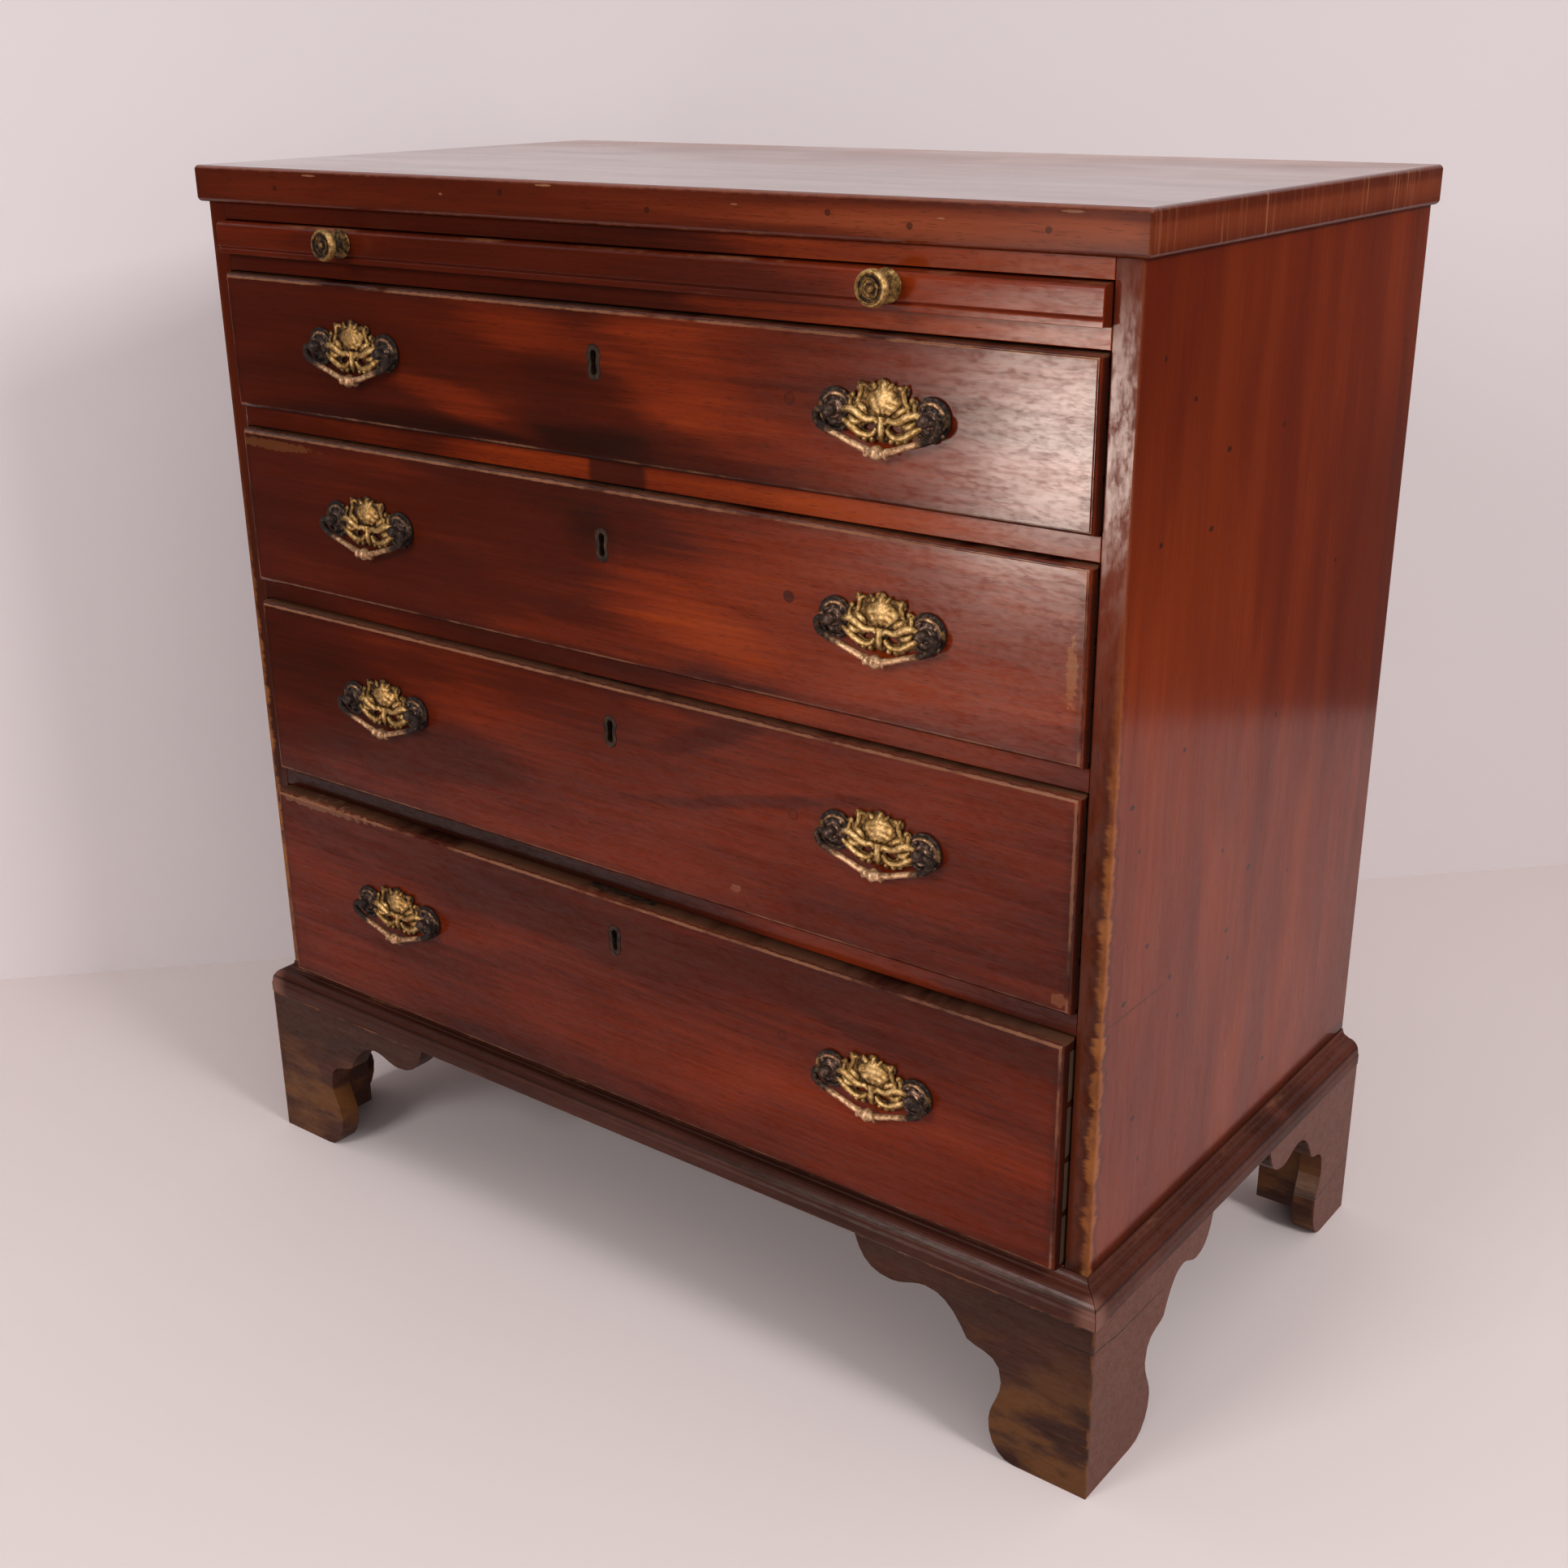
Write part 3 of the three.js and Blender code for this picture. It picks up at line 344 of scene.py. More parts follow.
# Mahogany: figure, fibres and pores run along the grain, the edges are worn pale, the polish is crazed
def mahogany(name, grain, tones, seed=0.0, box=None, worn=0.5, polish=0.5, gloss=0.17, patches=(), lines=None,
             spots=(), base=0.0, fade=None, coatIor=1.5, crazed=1.0):
    f, s = Finish(name), woodSettings
    axes = f.axes(grain, seed)
    sway, figure, fibres, pores = (grained(f, axes, kind) for kind in ("sway", "figure", "fibres", "pores"))
    perRing, perSway, perFigure = s["rings"]
    rings = (axes[1] * perRing + sway * perSway + figure * perFigure).sine()
    pores = pores.between(*s["pores"])
    level = (figure - 0.5) * s["figure"] + rings * s["ring"] + (fibres - 0.5) * s["fibre"]
    level = level + (s["middle"] + base)
    for patch in patches:
        level = level + patchShare(f, patch) * patch["lift"]
    f.colour = f.ramp(level, zip(s["stops"], tones))
    f.over(pores * s["flecks"], tone(28, 9, 5))
    blotch = f.noise(f.place, 55.0, 3.0, 0.6)
    chip = f.noise(f.place, 160.0, 3.0, 0.65)
    rub = 0.0
    if box:
        distance = edgeDistance(f, *box)
        grime = distance.between(*s["grime"]) * (blotch * 0.7 + 0.1)
        f.over(grime * 0.55, tone(36, 14, 8))
        rub = (distance + (0.5 - chip) * s["ragged"]).between(*s["rub"]) * blotch.between(*s["blotch"]) * worn
        f.over(rub, tone(158, 98, 60))
    if lines:
        rub = lines(f, chip)
    for spot in spots:
        f.over(spotShare(f, spot, chip), spot["colour"])
    smear, waves = grained(f, axes, "smear"), grained(f, axes, "waves")
    sheen = 0.42 + (smear - 0.5) * 0.16 + pores * 0.12 + rub * 0.2
    relief = fibres * 0.10 - pores * 0.35 + waves * 2.2 + blotch * 0.25
    craze = grained(f, axes, "craze").between(0.34, 0.60)
    scuffs = grained(f, axes, "scuffs").between(0.36, 0.58)
    cracks = (craze * 0.45 + scuffs * 0.33 - 0.62) * crazed + 1.0
    coat = (0.95 + smear * 0.5 - rub * 0.6) * cracks * polish
    if fade:
        coat = coat * fade(f)
    f.surface(colour=f.colour, roughness=sheen, coat=coat, coatRoughness=gloss, coatIor=coatIor,
              normal=f.bump(relief, *s["bump"]), specular=0.02)
    return f.material


# A patch of the figure and a spot on the wood, by place and size across and up
def patchAt(x, z, wide, high, lift, turn=0):
    return {"at": (x, z), "size": (wide, high), "lift": lift, "turn": turn}


def spotAt(x, z, wide, high, colour, share=0.7, ragged=0.3, ring=False, side=False):
    return {"at": (x, z), "size": (wide, high), "colour": colour, "share": share, "ragged": ragged,
            "ring": ring, "side": side}


# A round spot on a front or, by its place along y, on a side: a filled hole, a worm hole or a knock
def spotShare(f, spot, chip):
    x0, z0 = spot["at"]
    wide, high = spot["size"]
    across = f.y if spot["side"] else f.x
    dx, dz = (across - x0) * (1 / wide), (f.z - z0) * (1 / high)
    reach = (dx * dx + dz * dz) ** 0.5 + (chip - 0.5) * spot["ragged"]
    share = reach.between(1.1, 0.85) * spot["share"]
    if spot["ring"]:
        share = share * (reach.between(0.5, 0.8) * 0.4 + 0.2)
    return share


# Share of a patch of the figure, an oval that is soft at its rim and torn into streaks along the grain
def patchShare(f, patch):
    x0, z0 = patch["at"]
    wide, high = patch["size"]
    turn = radians(patch["turn"])
    ragged = f.stretched(f.x * 5, f.z * 24, x0 * 9, 3.0) - 0.5
    streaks = f.stretched(f.x * 7, f.z * 150, z0 * 9, 3.0, 0.6)
    dx = f.x - x0 + ragged * wide * 1.2
    dz = f.z - z0 + ragged * high * 1.6
    u = (dx * cos(turn) + dz * sin(turn)) * (1 / wide)
    v = (dz * cos(turn) - dx * sin(turn)) * (1 / high)
    return (u * u + v * v + (streaks - 0.5) * 1.4).between(1.7, 0.0)


frontTones = [tone(38, 10, 3), tone(74, 21, 6), tone(112, 36, 10), tone(152, 58, 16)]
sideTones = [tone(70, 18, 3), tone(100, 31, 6), tone(128, 48, 11), tone(158, 70, 20)]
footTones = [tone(26, 13, 9), tone(48, 25, 18), tone(70, 38, 26), tone(100, 58, 38)]
mouldingTones = [tone(28, 13, 9), tone(56, 27, 19), tone(84, 43, 32), tone(116, 68, 52)]
topTones = [tone(56, 16, 5), tone(84, 27, 9), tone(108, 40, 16), tone(136, 62, 32)]


plainSettings = {"rings": (190, 26), "stops": (0.2, 0.8), "nail": 0.0024, "gapShadeRun": 0.006}


# Plain board without polish; it can be darkened forward of a place along y, as painted shade where its front
# end stands in the gap, and hold nails
def plainWood(name, grain, tones, seed, gapShadeUpTo=None, nails=()):
    f, s = Finish(name), plainSettings
    axes = f.axes(grain, seed)
    figure, fibres = grained(f, axes, "plainFigure"), grained(f, axes, "plainFibres")
    perRing, perFigure = s["rings"]
    rings = (axes[1] * perRing + figure * perFigure).sine() * 0.5 + 0.5
    f.colour = f.ramp(figure * 0.8 + rings * 0.18 + fibres * 0.2 - 0.1, zip(s["stops"], tones))
    dirt = f.noise(f.place, 9.0, 4.0, 0.65).between(0.52, 0.75)
    f.over(dirt * 0.4, tone(52, 38, 26))
    if gapShadeUpTo:
        # Painted shade: the end of the board in front of that place is darkened
        gapShade = (f.y + dirt * 0.004).between(gapShadeUpTo + s["gapShadeRun"], gapShadeUpTo) * 0.92
        f.over(gapShade, tone(36, 17, 11))
    for x, z in nails:
        nail = spotAt(x, z, s["nail"], s["nail"], tone(38, 28, 24), 0.9, 0.5)
        f.over(spotShare(f, nail, dirt), nail["colour"])
    normal = f.bump(fibres * 0.5 + rings * 0.2, 0.4, 0.0006)
    f.surface(colour=f.colour, roughness=0.72 + (figure - 0.5) * 0.2, normal=normal, specular=0.3)
    return f.material


# Rounding of the arrises, by kind of board
roundings = {"board": 0.0012, "rail": 0.0006, "back": 0.0008, "front": 0.0003}
roundingSettings = {"weld": 0.00002, "segments": 2, "angle": 40}


def wear(node, finish, rounding=None):
    thing = nodes[node]
    thing.data.materials.clear()
    thing.data.materials.append(finish)
    if rounding:
        weld = thing.modifiers.new("weld", "WELD")
        weld.merge_threshold = roundingSettings["weld"]
        bevel = thing.modifiers.new("soften", "BEVEL")
        bevel.width = roundings[rounding]
        bevel.segments = roundingSettings["segments"]
        bevel.limit_method = "ANGLE"
        bevel.angle_limit = radians(roundingSettings["angle"])


def boxOf(node):
    low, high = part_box(node)
    return tuple(low), tuple(high)


# Modelling helpers: what a hand would click
def pick(thing):
    deselect()
    thing.select_set(True)
    bpy.context.view_layer.objects.active = thing


def asMesh(name, curve):
    pick(linked(name, curve))
    bpy.ops.object.convert(target="MESH")
    return bpy.context.object


doubled = 0.000005  # points closer than this are one


def recalculate(piece):
    pick(piece)
    bpy.ops.object.mode_set(mode="EDIT")
    bpy.ops.mesh.select_all(action="SELECT")
    bpy.ops.mesh.remove_doubles(threshold=doubled)
    bpy.ops.mesh.normals_make_consistent(inside=False)
    bpy.ops.object.mode_set(mode="OBJECT")
    return piece


def smooth(piece, angle):
    pick(piece)
    bpy.ops.object.shade_smooth_by_angle(angle=radians(angle))
    return piece


def joined(name, pieces):
    deselect()
    for piece in pieces:
        piece.select_set(True)
    bpy.context.view_layer.objects.active = pieces[0]
    bpy.ops.object.join()
    pieces[0].name = name
    pieces[0].data.name = name
    return pieces[0]


def inMetres(profile):
    return [(radius / 1000, reach / 1000) for radius, reach in profile]


# A turned piece: a disc is drawn out step by step along its axis and sized to the profile.
# The profile holds radius and reach; the reach runs out of the chest's front, towards -Y.
def turned(name, profile, steps, finish):
    (radius, reach), *rest = profile
    deselect()
    bpy.ops.mesh.primitive_circle_add(vertices=steps, radius=radius, fill_type="NGON",
                                      rotation=(radians(90), 0, 0), location=(0, -reach, 0))
    piece = bpy.context.object
    piece.name = name
    settle(piece)
    bpy.ops.object.mode_set(mode="EDIT")
    bpy.ops.mesh.select_mode(type="FACE")
    bpy.ops.mesh.select_all(action="SELECT")
    for nextRadius, nextReach in rest:
        bpy.ops.mesh.extrude_region_move(TRANSFORM_OT_translate={"value": (0, reach - nextReach, 0)})
        share = nextRadius / radius
        bpy.ops.transform.resize(value=(share, share, share), center_override=(0, -nextReach, 0))
        radius, reach = nextRadius, nextReach
    bpy.ops.object.mode_set(mode="OBJECT")
    piece.data.materials.append(finish)
    return recalculate(piece)


# A rod along a soft curve through points of x, y, z and radius
def rod(name, points, finish, sides, steps):
    curve = bpy.data.curves.new(name, "CURVE")
    curve.dimensions = "3D"
    curve.bevel_depth = 1.0
    curve.bevel_resolution = sides
    curve.use_fill_caps = True
    curve.resolution_u = steps
    spline = curve.splines.new("BEZIER")
    spline.bezier_points.add(len(points) - 1)
    for place, (x, y, z, radius) in zip(spline.bezier_points, points):
        place.co = (x, y, z)
        place.radius = radius
        place.handle_left_type = place.handle_right_type = "AUTO"
    piece = asMesh(name, curve)
    piece.data.materials.clear()
    piece.data.materials.append(finish)
    return recalculate(piece)


def pearl(place, radius, finish):
    deselect()
    bpy.ops.mesh.primitive_uv_sphere_add(segments=14, ring_count=9, radius=radius, location=place)
    piece = bpy.context.object
    piece.name = "pearl"
    settle(piece)
    piece.data.materials.append(finish)
    return piece


def placedCopy(form, name, shift, body, node):
    piece = linked(name, form.data.copy())
    piece.data.transform(Matrix.Translation(shift))
    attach(piece, body)
    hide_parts(node)
    return piece


def discard(thing):
    bpy.data.objects.remove(thing)


# Handle plate, centred on the middle between its posts: its outline is drawn in lobes, as shares of half
plateSettings = {
    "half": 0.0463, "thick": 0.0017, "seat": 0.0003,
    "lobes": [(0, 0.355, 0.095, 90, 10), (0.33, 0.315, 0.07, 130, -60), (0.335, 0.15, 0, 0, 0),
              (0.475, 0.175, 0.058, 150, 20), (0.7236, 0.011, 0.2764, 128, -125),
              (0.31, -0.26, 0.085, -20, -150), (0, -0.27, 0.075, -40, -90)],
    "eye": (0.195, -0.165, 0.085, 0.042, 16),
    "eyeSteps": 20, "lobeStep": 12, "bevel": 0.0005, "apart": 0.00005, "darkEnd": 0.0275, "darkPearls": 25,
    "posts": 0.067, "rise": 0.0005, "pinReach": 0.009, "front": 0.021,
    "shell": {"wide": 0.0118, "high": 0.0088, "across": 0.0014, "middle": 0.0084, "height": 0.0038, "ribs": 5,
              "fanFoot": 1.3, "fan": 0.10, "ripple": 0.09, "ripples": 13, "swell": 0.75, "full": 1.6},
}


def plateOutline(step):
    s = plateSettings
    right = []
    for u, w, r, first, last in s["lobes"]:
        count = max(1, round(abs(last - first) / step)) if r else 1
        for i in range(0 if r else 1, count + 1):
            angle = radians(first + (last - first) * i / count)
            right.append((u + r * cos(angle), w + r * sin(angle)))
    left = [(-u, w) for u, w in reversed(right[1:])]
    points = []
    for u, w in right + left:
        point = (u * s["half"], w * s["half"])
        if not points or dist(point, points[-1]) > s["apart"]:
            points.append(point)
    if dist(points[0], points[-1]) < s["apart"]:
        points.pop()
    return points


# The flat plate with its two slanting eyes; its ends have a darker finish than its middle
def platePierced(finish, ends):
    s = plateSettings
    curve = bpy.data.curves.new("plate", "CURVE")
    curve.dimensions = "2D"
    curve.fill_mode = "BOTH"
    curve.extrude = s["thick"] / 2 - s["bevel"]
    curve.bevel_depth = s["bevel"]
    curve.bevel_resolution = 2
    curve.offset = -s["bevel"]
    u, w, long, high, tilt = s["eye"]
    rings = [plateOutline(s["lobeStep"])]
    for side in (-1, 1):
        turn = -side * radians(tilt)
        ring = []
        for i in range(s["eyeSteps"]):
            a = -2 * pi * i / s["eyeSteps"]
            x, z = long * cos(a), high * sin(a)
            across = side * u + x * cos(turn) - z * sin(turn)
            ring.append((across * s["half"], (w + x * sin(turn) + z * cos(turn)) * s["half"]))
        rings.append(ring)
    for ring in rings:
        spline = curve.splines.new("POLY")
        spline.points.add(len(ring) - 1)
        spline.use_cyclic_u = True
        for place, (x, z) in zip(spline.points, ring):
            place.co = (x, z, 0, 1)
    piece = asMesh("plate", curve)
    middle = -s["seat"] - s["thick"] / 2
    piece.matrix_world = Matrix.Translation((0, middle, 0)) @ Matrix.Rotation(radians(90), 4, "X")
    settle(piece)
    for coat in (finish, ends):
        piece.data.materials.append(coat)
    for face in piece.data.polygons:
        face.material_index = 1 if abs(face.center.x) > s["darkEnd"] else 0
    return recalculate(piece)


# The scallop shell: half a ball drawn wide and low, its ribs fanning up and out from its foot
def plateShell(finish):
    s = plateSettings["shell"]
    deselect()
    bpy.ops.mesh.primitive_uv_sphere_add(segments=80, ring_count=32, radius=1,
                                         rotation=(radians(90), 0, 0))
    piece = bpy.context.object
    settle(piece)
    bpy.ops.object.mode_set(mode="EDIT")
    bpy.ops.mesh.select_all(action="SELECT")
    bpy.ops.mesh.bisect(plane_co=(0, 0, 0), plane_no=(0, 1, 0), clear_outer=True, use_fill=True)
    bpy.ops.object.mode_set(mode="OBJECT")
    base = -plateSettings["seat"] - plateSettings["thick"] / 2
    for vertex in piece.data.vertices:
        x, y, z = vertex.co
        reach = min(1, hypot(x, z))
        fan = cos(atan2(x, z + s["fanFoot"]) * s["ribs"] * 2)
        ripple = cos(hypot(x, z + s["fanFoot"]) * s["ripples"])
        rim = 1 + s["fan"] * fan * reach ** 4
        wave = (s["fan"] * fan + s["ripple"] * ripple) * min(1, reach * s["full"])
        rise = max(0, -y) ** s["swell"] * (1 + wave)
        vertex.co = (x * s["wide"] * rim + s["across"], base - rise * s["height"],
                     z * s["high"] * rim + s["middle"])
    piece.data.materials.append(finish)
    return recalculate(piece)


# Scrolls, horns and leaves of one side, as points of reach, rise, height and radius in mm
plateTrim = [
    [(28.5, 0.4, 1.8, 1.8), (23.0, 1.8, 2.4, 2.7), (17.5, 0.4, 2.8, 2.8), (12.8, -2.4, 2.8, 2.5),
     (8.4, -3.3, 2.8, 2.2), (4.8, -2.6, 2.8, 2.0), (2.6, -4.6, 2.6, 1.8)],
    [(27.5, -4.8, 1.8, 1.9), (22.0, -7.8, 2.2, 2.7), (17.2, -10.7, 2.4, 2.5), (12.6, -12.3, 2.4, 2.3),
     (8.2, -12.1, 2.4, 2.1), (5.0, -10.2, 2.4, 1.9), (3.6, -7.8, 2.4, 1.5)],
    [(18.6, 1.5, 1.8, 2.0), (17.4, 6.0, 2.0, 1.7), (15.3, 10.5, 2.2, 1.7), (14.9, 14.6, 2.2, 1.8),
     (16.8, 17.8, 1.8, 1.0)],
    [(15.1, 15.0, 2.2, 1.6), (12.2, 16.2, 2.0, 1.4), (9.8, 15.2, 1.8, 0.9)],
    [(22.6, 3.0, 1.8, 1.9), (22.4, 6.0, 2.0, 1.6), (21.4, 8.6, 1.8, 1.1)],
    [(24.4, 3.6, 1.6, 0.9), (27.0, 7.6, 2.0, 1.2), (31.7, 9.4, 2.4, 1.4), (37.2, 8.6, 2.4, 1.4),
     (41.2, 5.0, 2.2, 1.2), (42.9, -0.4, 1.8, 0.9), (41.6, -5.0, 1.6, 0.7)],
    [(25.5, -8.5, 1.6, 1.3), (29.5, -11.0, 2.0, 1.6), (34.5, -11.4, 1.8, 1.5), (39.0, -9.2, 1.6, 1.0)],
    [(4.2, 14.6, 2.4, 1.9), (6.2, 17.0, 2.2, 1.6), (7.6, 18.6, 1.8, 0.9)],
    [(19.8, 6.2, 1.6, 1.0), (16.2, 4.6, 2.4, 2.1), (12.4, 2.6, 2.6, 2.2), (10.4, -0.2, 2.2, 1.1)],
    [(23.4, -1.8, 1.8, 1.2), (20.2, -4.6, 2.6, 2.4), (16.4, -5.2, 2.4, 1.9), (13.6, -4.4, 1.8, 0.9)],
]
darkTrim = (6,)  # the lower scroll at the end of the plate
rimTrim = (5,)  # the scroll round the end, rubbed bright
platePearls = [(20.6, 10.0, 2.0, 1.9), (11.8, -14.4, 2.0, 2.3), (6.6, -14.6, 2.0, 2.1),
               (16.6, -13.0, 1.8, 2.0), (41.2, -8.2, 1.7, 1.8), (36.6, -11.6, 1.7, 1.7),
               (39.6, 4.4, 2.2, 1.9), (28.4, 6.2, 2.2, 1.8)]
plateCentre = [[(0.3, -1.0, 2.6, 2.8), (0.2, -5.0, 3.0, 2.4), (0, -8.5, 3.0, 2.6), (0, -12.0, 2.4, 2.2),
                (0, -15.0, 1.8, 1.6)],
               [(1.0, 14.0, 2.2, 2.2), (1.2, 17.0, 2.2, 2.2), (1.4, 20.0, 1.8, 1.1)]]


def trimRod(points, side, finish):
    placed = [(side * x / 1000, -y / 1000, z / 1000, r / 1000) for x, z, y, r in points]
    return rod("trim", placed, finish, sides=2, steps=4)


postSettings = {"boltSteps": 12, "steps": 35, "petals": 7, "inner": 0.0060, "outer": -0.005, "wave": 0.04,
                "press": 0.12}


def post(side, dark):
    s, p = plateSettings, postSettings
    face = s["seat"] + s["thick"]
    reach = s["pinReach"]
    back = -s["front"]
    bolt = turned("bolt", [(0.0046, back - 0.0038), (0.0050, back - 0.0032), (0.0050, back - 0.0010),
                           (0.0046, back - 0.0003), (0.0020, back - 0.0003), (0.0020, face)],
                  p["boltSteps"], dark)
    ring = [(0.0094, s["seat"]), (0.0098, face), (0.0094, face + 0.0010), (0.0082, face + 0.0015),
            (0.0074, face + 0.0009), (0.0064, face + 0.0008), (0.0056, face + 0.0016),
            (0.0046, face + 0.0021),
            (0.0040, face + 0.0020), (0.0034, reach - 0.0044), (0.0034, reach - 0.0034),
            (0.0038, reach - 0.0018),
            (0.0040, reach), (0.0038, reach + 0.0014), (0.0030, reach + 0.0027), (0.0018, reach + 0.0034),
            (0.0005, reach + 0.0036)]
    rosette = turned("rosette", ring, p["steps"], dark)
    # petals: the rim of the rosette is pressed in and out round its edge
    for vertex in rosette.data.vertices:
        x, y, z = vertex.co
        if hypot(x, z) > p["inner"] and y > p["outer"]:
            petal = cos(atan2(z, x) * p["petals"])
            out = 1 + p["wave"] * petal
            vertex.co = (x * out, y * (1 + p["press"] * petal), z * out)
    for piece in (bolt, rosette):
        piece.data.transform(Matrix.Translation((side * s["posts"] / 2, 0, s["rise"])))
    return [bolt, rosette]


# The plate is dark in its hollows and on its posts, and rubbed where its trim stands out
reliefSettings = {"post": 0.0050, "postShare": 0.5, "dirty": 0.6, "height": 0.0036}


def plateRelief(x, y, z):
    s, r = plateSettings, reliefSettings
    if hypot(abs(x) - s["posts"] / 2, z - s["rise"]) < r["post"] and -y > r["post"]:
        return r["postShare"]
    return (-y - (s["seat"] + s["thick"]) * r["dirty"]) / r["height"]


def makePlateForm(gilt, dark, bright):
    pieces = [platePierced(gilt, dark), plateShell(gilt)]
    for side in (-1, 1):
        pieces += post(side, dark)
        coats = [dark if i in darkTrim else bright if i in rimTrim else gilt for i in range(len(plateTrim))]
        pieces += [trimRod(points, side, coat) for points, coat in zip(plateTrim, coats)]
        for x, z, y, r in platePearls:
            coat = dark if x > plateSettings["darkPearls"] else gilt
            pieces.append(pearl((side * x / 1000, -y / 1000, z / 1000), r / 1000, coat))
    pieces += [trimRod(points, 1, gilt) for points in plateCentre]
    form = smooth(joined("plateForm", pieces), 50)
    writeRelief(form, plateRelief)
    return form


# How far a place stands out and is rubbed bright, kept on the mesh so that the hollows can hold dirt
def writeRelief(form, share):
    relief = form.data.attributes.new("relief", "FLOAT", "POINT")
    shares = [min(1.0, max(0.0, share(*vertex.co))) for vertex in form.data.vertices]
    relief.data.foreach_set("value", shares)


# Bail: a rod bent to a shallow V that hangs from the posts and carries a turned knuckle, its profile in mm
bailSettings = {"radius": 0.0022, "drop": 0.0215, "reach": 0.0424, "pin": 0.003, "ball": 0.0055,
                "lean": 0.0012, "straight": 1.2, "middle": 0.0024, "bright": 0.0345, "fade": 0.009,
                "arm": [(0.985, -0.05, 0.0023), (1, -0.2, 0.0025), (0.965, -0.36, 0.0025),
                        (0.85, -0.5, 0.0023), (0.5, -0.74, 0.0019), (0.22, -0.92, 0.0022)],
                "knuckle": [(3.1, -7.5), (3.6, -7), (3.1, -6.3), (2.6, -4.8), (3.1, -3.6), (4.2, -1.4),
                            (4.7, 0), (4.2, 1.4), (3.1, 3.6), (2.6, 4.8), (3.1, 6.3), (3.6, 7),
                            (3.1, 7.5)]}


def makeBailForm(finish):
    s = bailSettings
    half = plateSettings["posts"] / 2
    pinEnds = (half - s["pin"], half + s["pin"] * s["straight"], half + s["ball"])
    arm = [(x, 0, s["radius"]) for x in pinEnds]
    arm += [(u * s["reach"], w * s["drop"], r) for u, w, r in s["arm"]]
    route = arm + [(0, -s["drop"], s["middle"])] + [(-x, z, r) for x, z, r in reversed(arm)]
    bar = rod("bail", [(x, -z / s["drop"] * s["lean"], z, r) for x, z, r in route], finish, sides=4, steps=6)
    knuckle = turned("knuckle", inMetres(s["knuckle"]), 20, finish)
    turnedAcross = Matrix.Rotation(radians(90), 4, "Z")
    knuckle.data.transform(Matrix.Translation((0, s["lean"], -s["drop"])) @ turnedAcross)
    form = smooth(joined("bailForm", [bar, knuckle]), 50)
    writeRelief(form, lambda x, y, z: (s["bright"] - abs(x)) / s["fade"])
    return form


# Knob of the slide, radius and reach in mm: shank, base disc, neck, and a dished head with ring and dot
knobProfile = [(2, -14), (2.2, -13.6), (2.2, 0.2), (9.6, 0.3), (10, 0.7), (9.8, 1.3), (8.2, 1.9),
               (6.4, 2.6), (4.4, 3.6), (3.5, 5), (3.4, 7.8), (4.2, 9.6), (7.4, 10.8), (9.8, 12.2),
               (10.7, 13.7), (10.8, 15.2), (10.5, 17), (9.8, 18.1), (8.8, 18.4), (8, 18), (7.6, 17),
               (6.2, 16.8), (5.8, 17.6), (5.2, 17.7), (4.7, 16.8), (3, 16.7), (2.6, 17.8), (1.8, 18.6),
               (0.6, 18.9)]


# The knob's grooves and neck are dark, its rim, ring and dot are rubbed
knobSettings = {"steps": 32, "head": -0.0125, "neck": 0.005, "grooves": ((0.0060, 0.0079), (0.0024, 0.0047)),
                "rim": 0.0090}


def knobRelief(x, y, z):
    radius = hypot(x, z)
    if y > knobSettings["head"]:
        return 0.45 if radius > knobSettings["neck"] else 0.1
    if any(low < radius < high for low, high in knobSettings["grooves"]):
        return 0.0
    return 0.85 if radius > knobSettings["rim"] else 0.35


sides = ("left", "right")
drawers = range(1, 5)


def makeHandles(gilt, dark, bright):
    plateForm = makePlateForm(gilt, dark, bright)
    bailForm = makeBailForm(bright)
    for number in drawers:
        for side in sides:
            body = f"drawer{number}"
            node = f"drawer{number}_plate_{side}"
            low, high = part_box(node)
            middle = (low.x + high.x) / 2
            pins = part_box(f"drawer{number}_bail_{side}")
            pinHeight = pins[1].z - bailSettings["radius"]
            pinPlace = (pins[0].y + pins[1].y) / 2
            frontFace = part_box(f"drawer{number}_front")[0].y
            shift = (middle, frontFace, pinHeight - plateSettings["rise"])
            placedCopy(plateForm, f"handlePlate{number}{side}", shift, body, node)
            shift = (middle, frontFace - plateSettings["pinReach"], pinHeight)
            bail = f"drawer{number}_bail_{side}"
            placedCopy(bailForm, f"bail{number}{side}", shift, bail, bail)
    discard(plateForm)
    discard(bailForm)
    knob = smooth(turned("knob", inMetres(knobProfile), knobSettings["steps"], gilt), 40)
    writeRelief(knob, knobRelief)
    for side in sides:
        low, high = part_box("slide_knob_" + side)
        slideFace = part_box("brushing_slide")[0].y
        placedCopy(knob, "slideKnob_" + side, ((low.x + high.x) / 2, slideFace, (low.z + high.z) / 2),
                   "slide", "slide_knob_" + side)
    discard(knob)


# The top: dents and nicks in its front edge, pale streaks across the end grain, a haze that thins to the back
topKnocks = [((-0.262, 0.8035), (0.007, 0.0007), 0.4), ((-0.036, 0.8045), (0.009, 0.0006), 0.45),
             ((-0.130, 0.7960), (0.0015, 0.0010), 0.3), ((0.118, 0.7990), (0.004, 0.0005), 0.3),
             ((0.262, 0.7970), (0.003, 0.0007), 0.3), ((0.345, 0.8040), (0.008, 0.0007), 0.35)]
topDents = [(-0.300, 0.794), (-0.075, 0.799), (0.050, 0.793), (0.186, 0.797), (0.242, 0.792), (0.330, 0.794)]


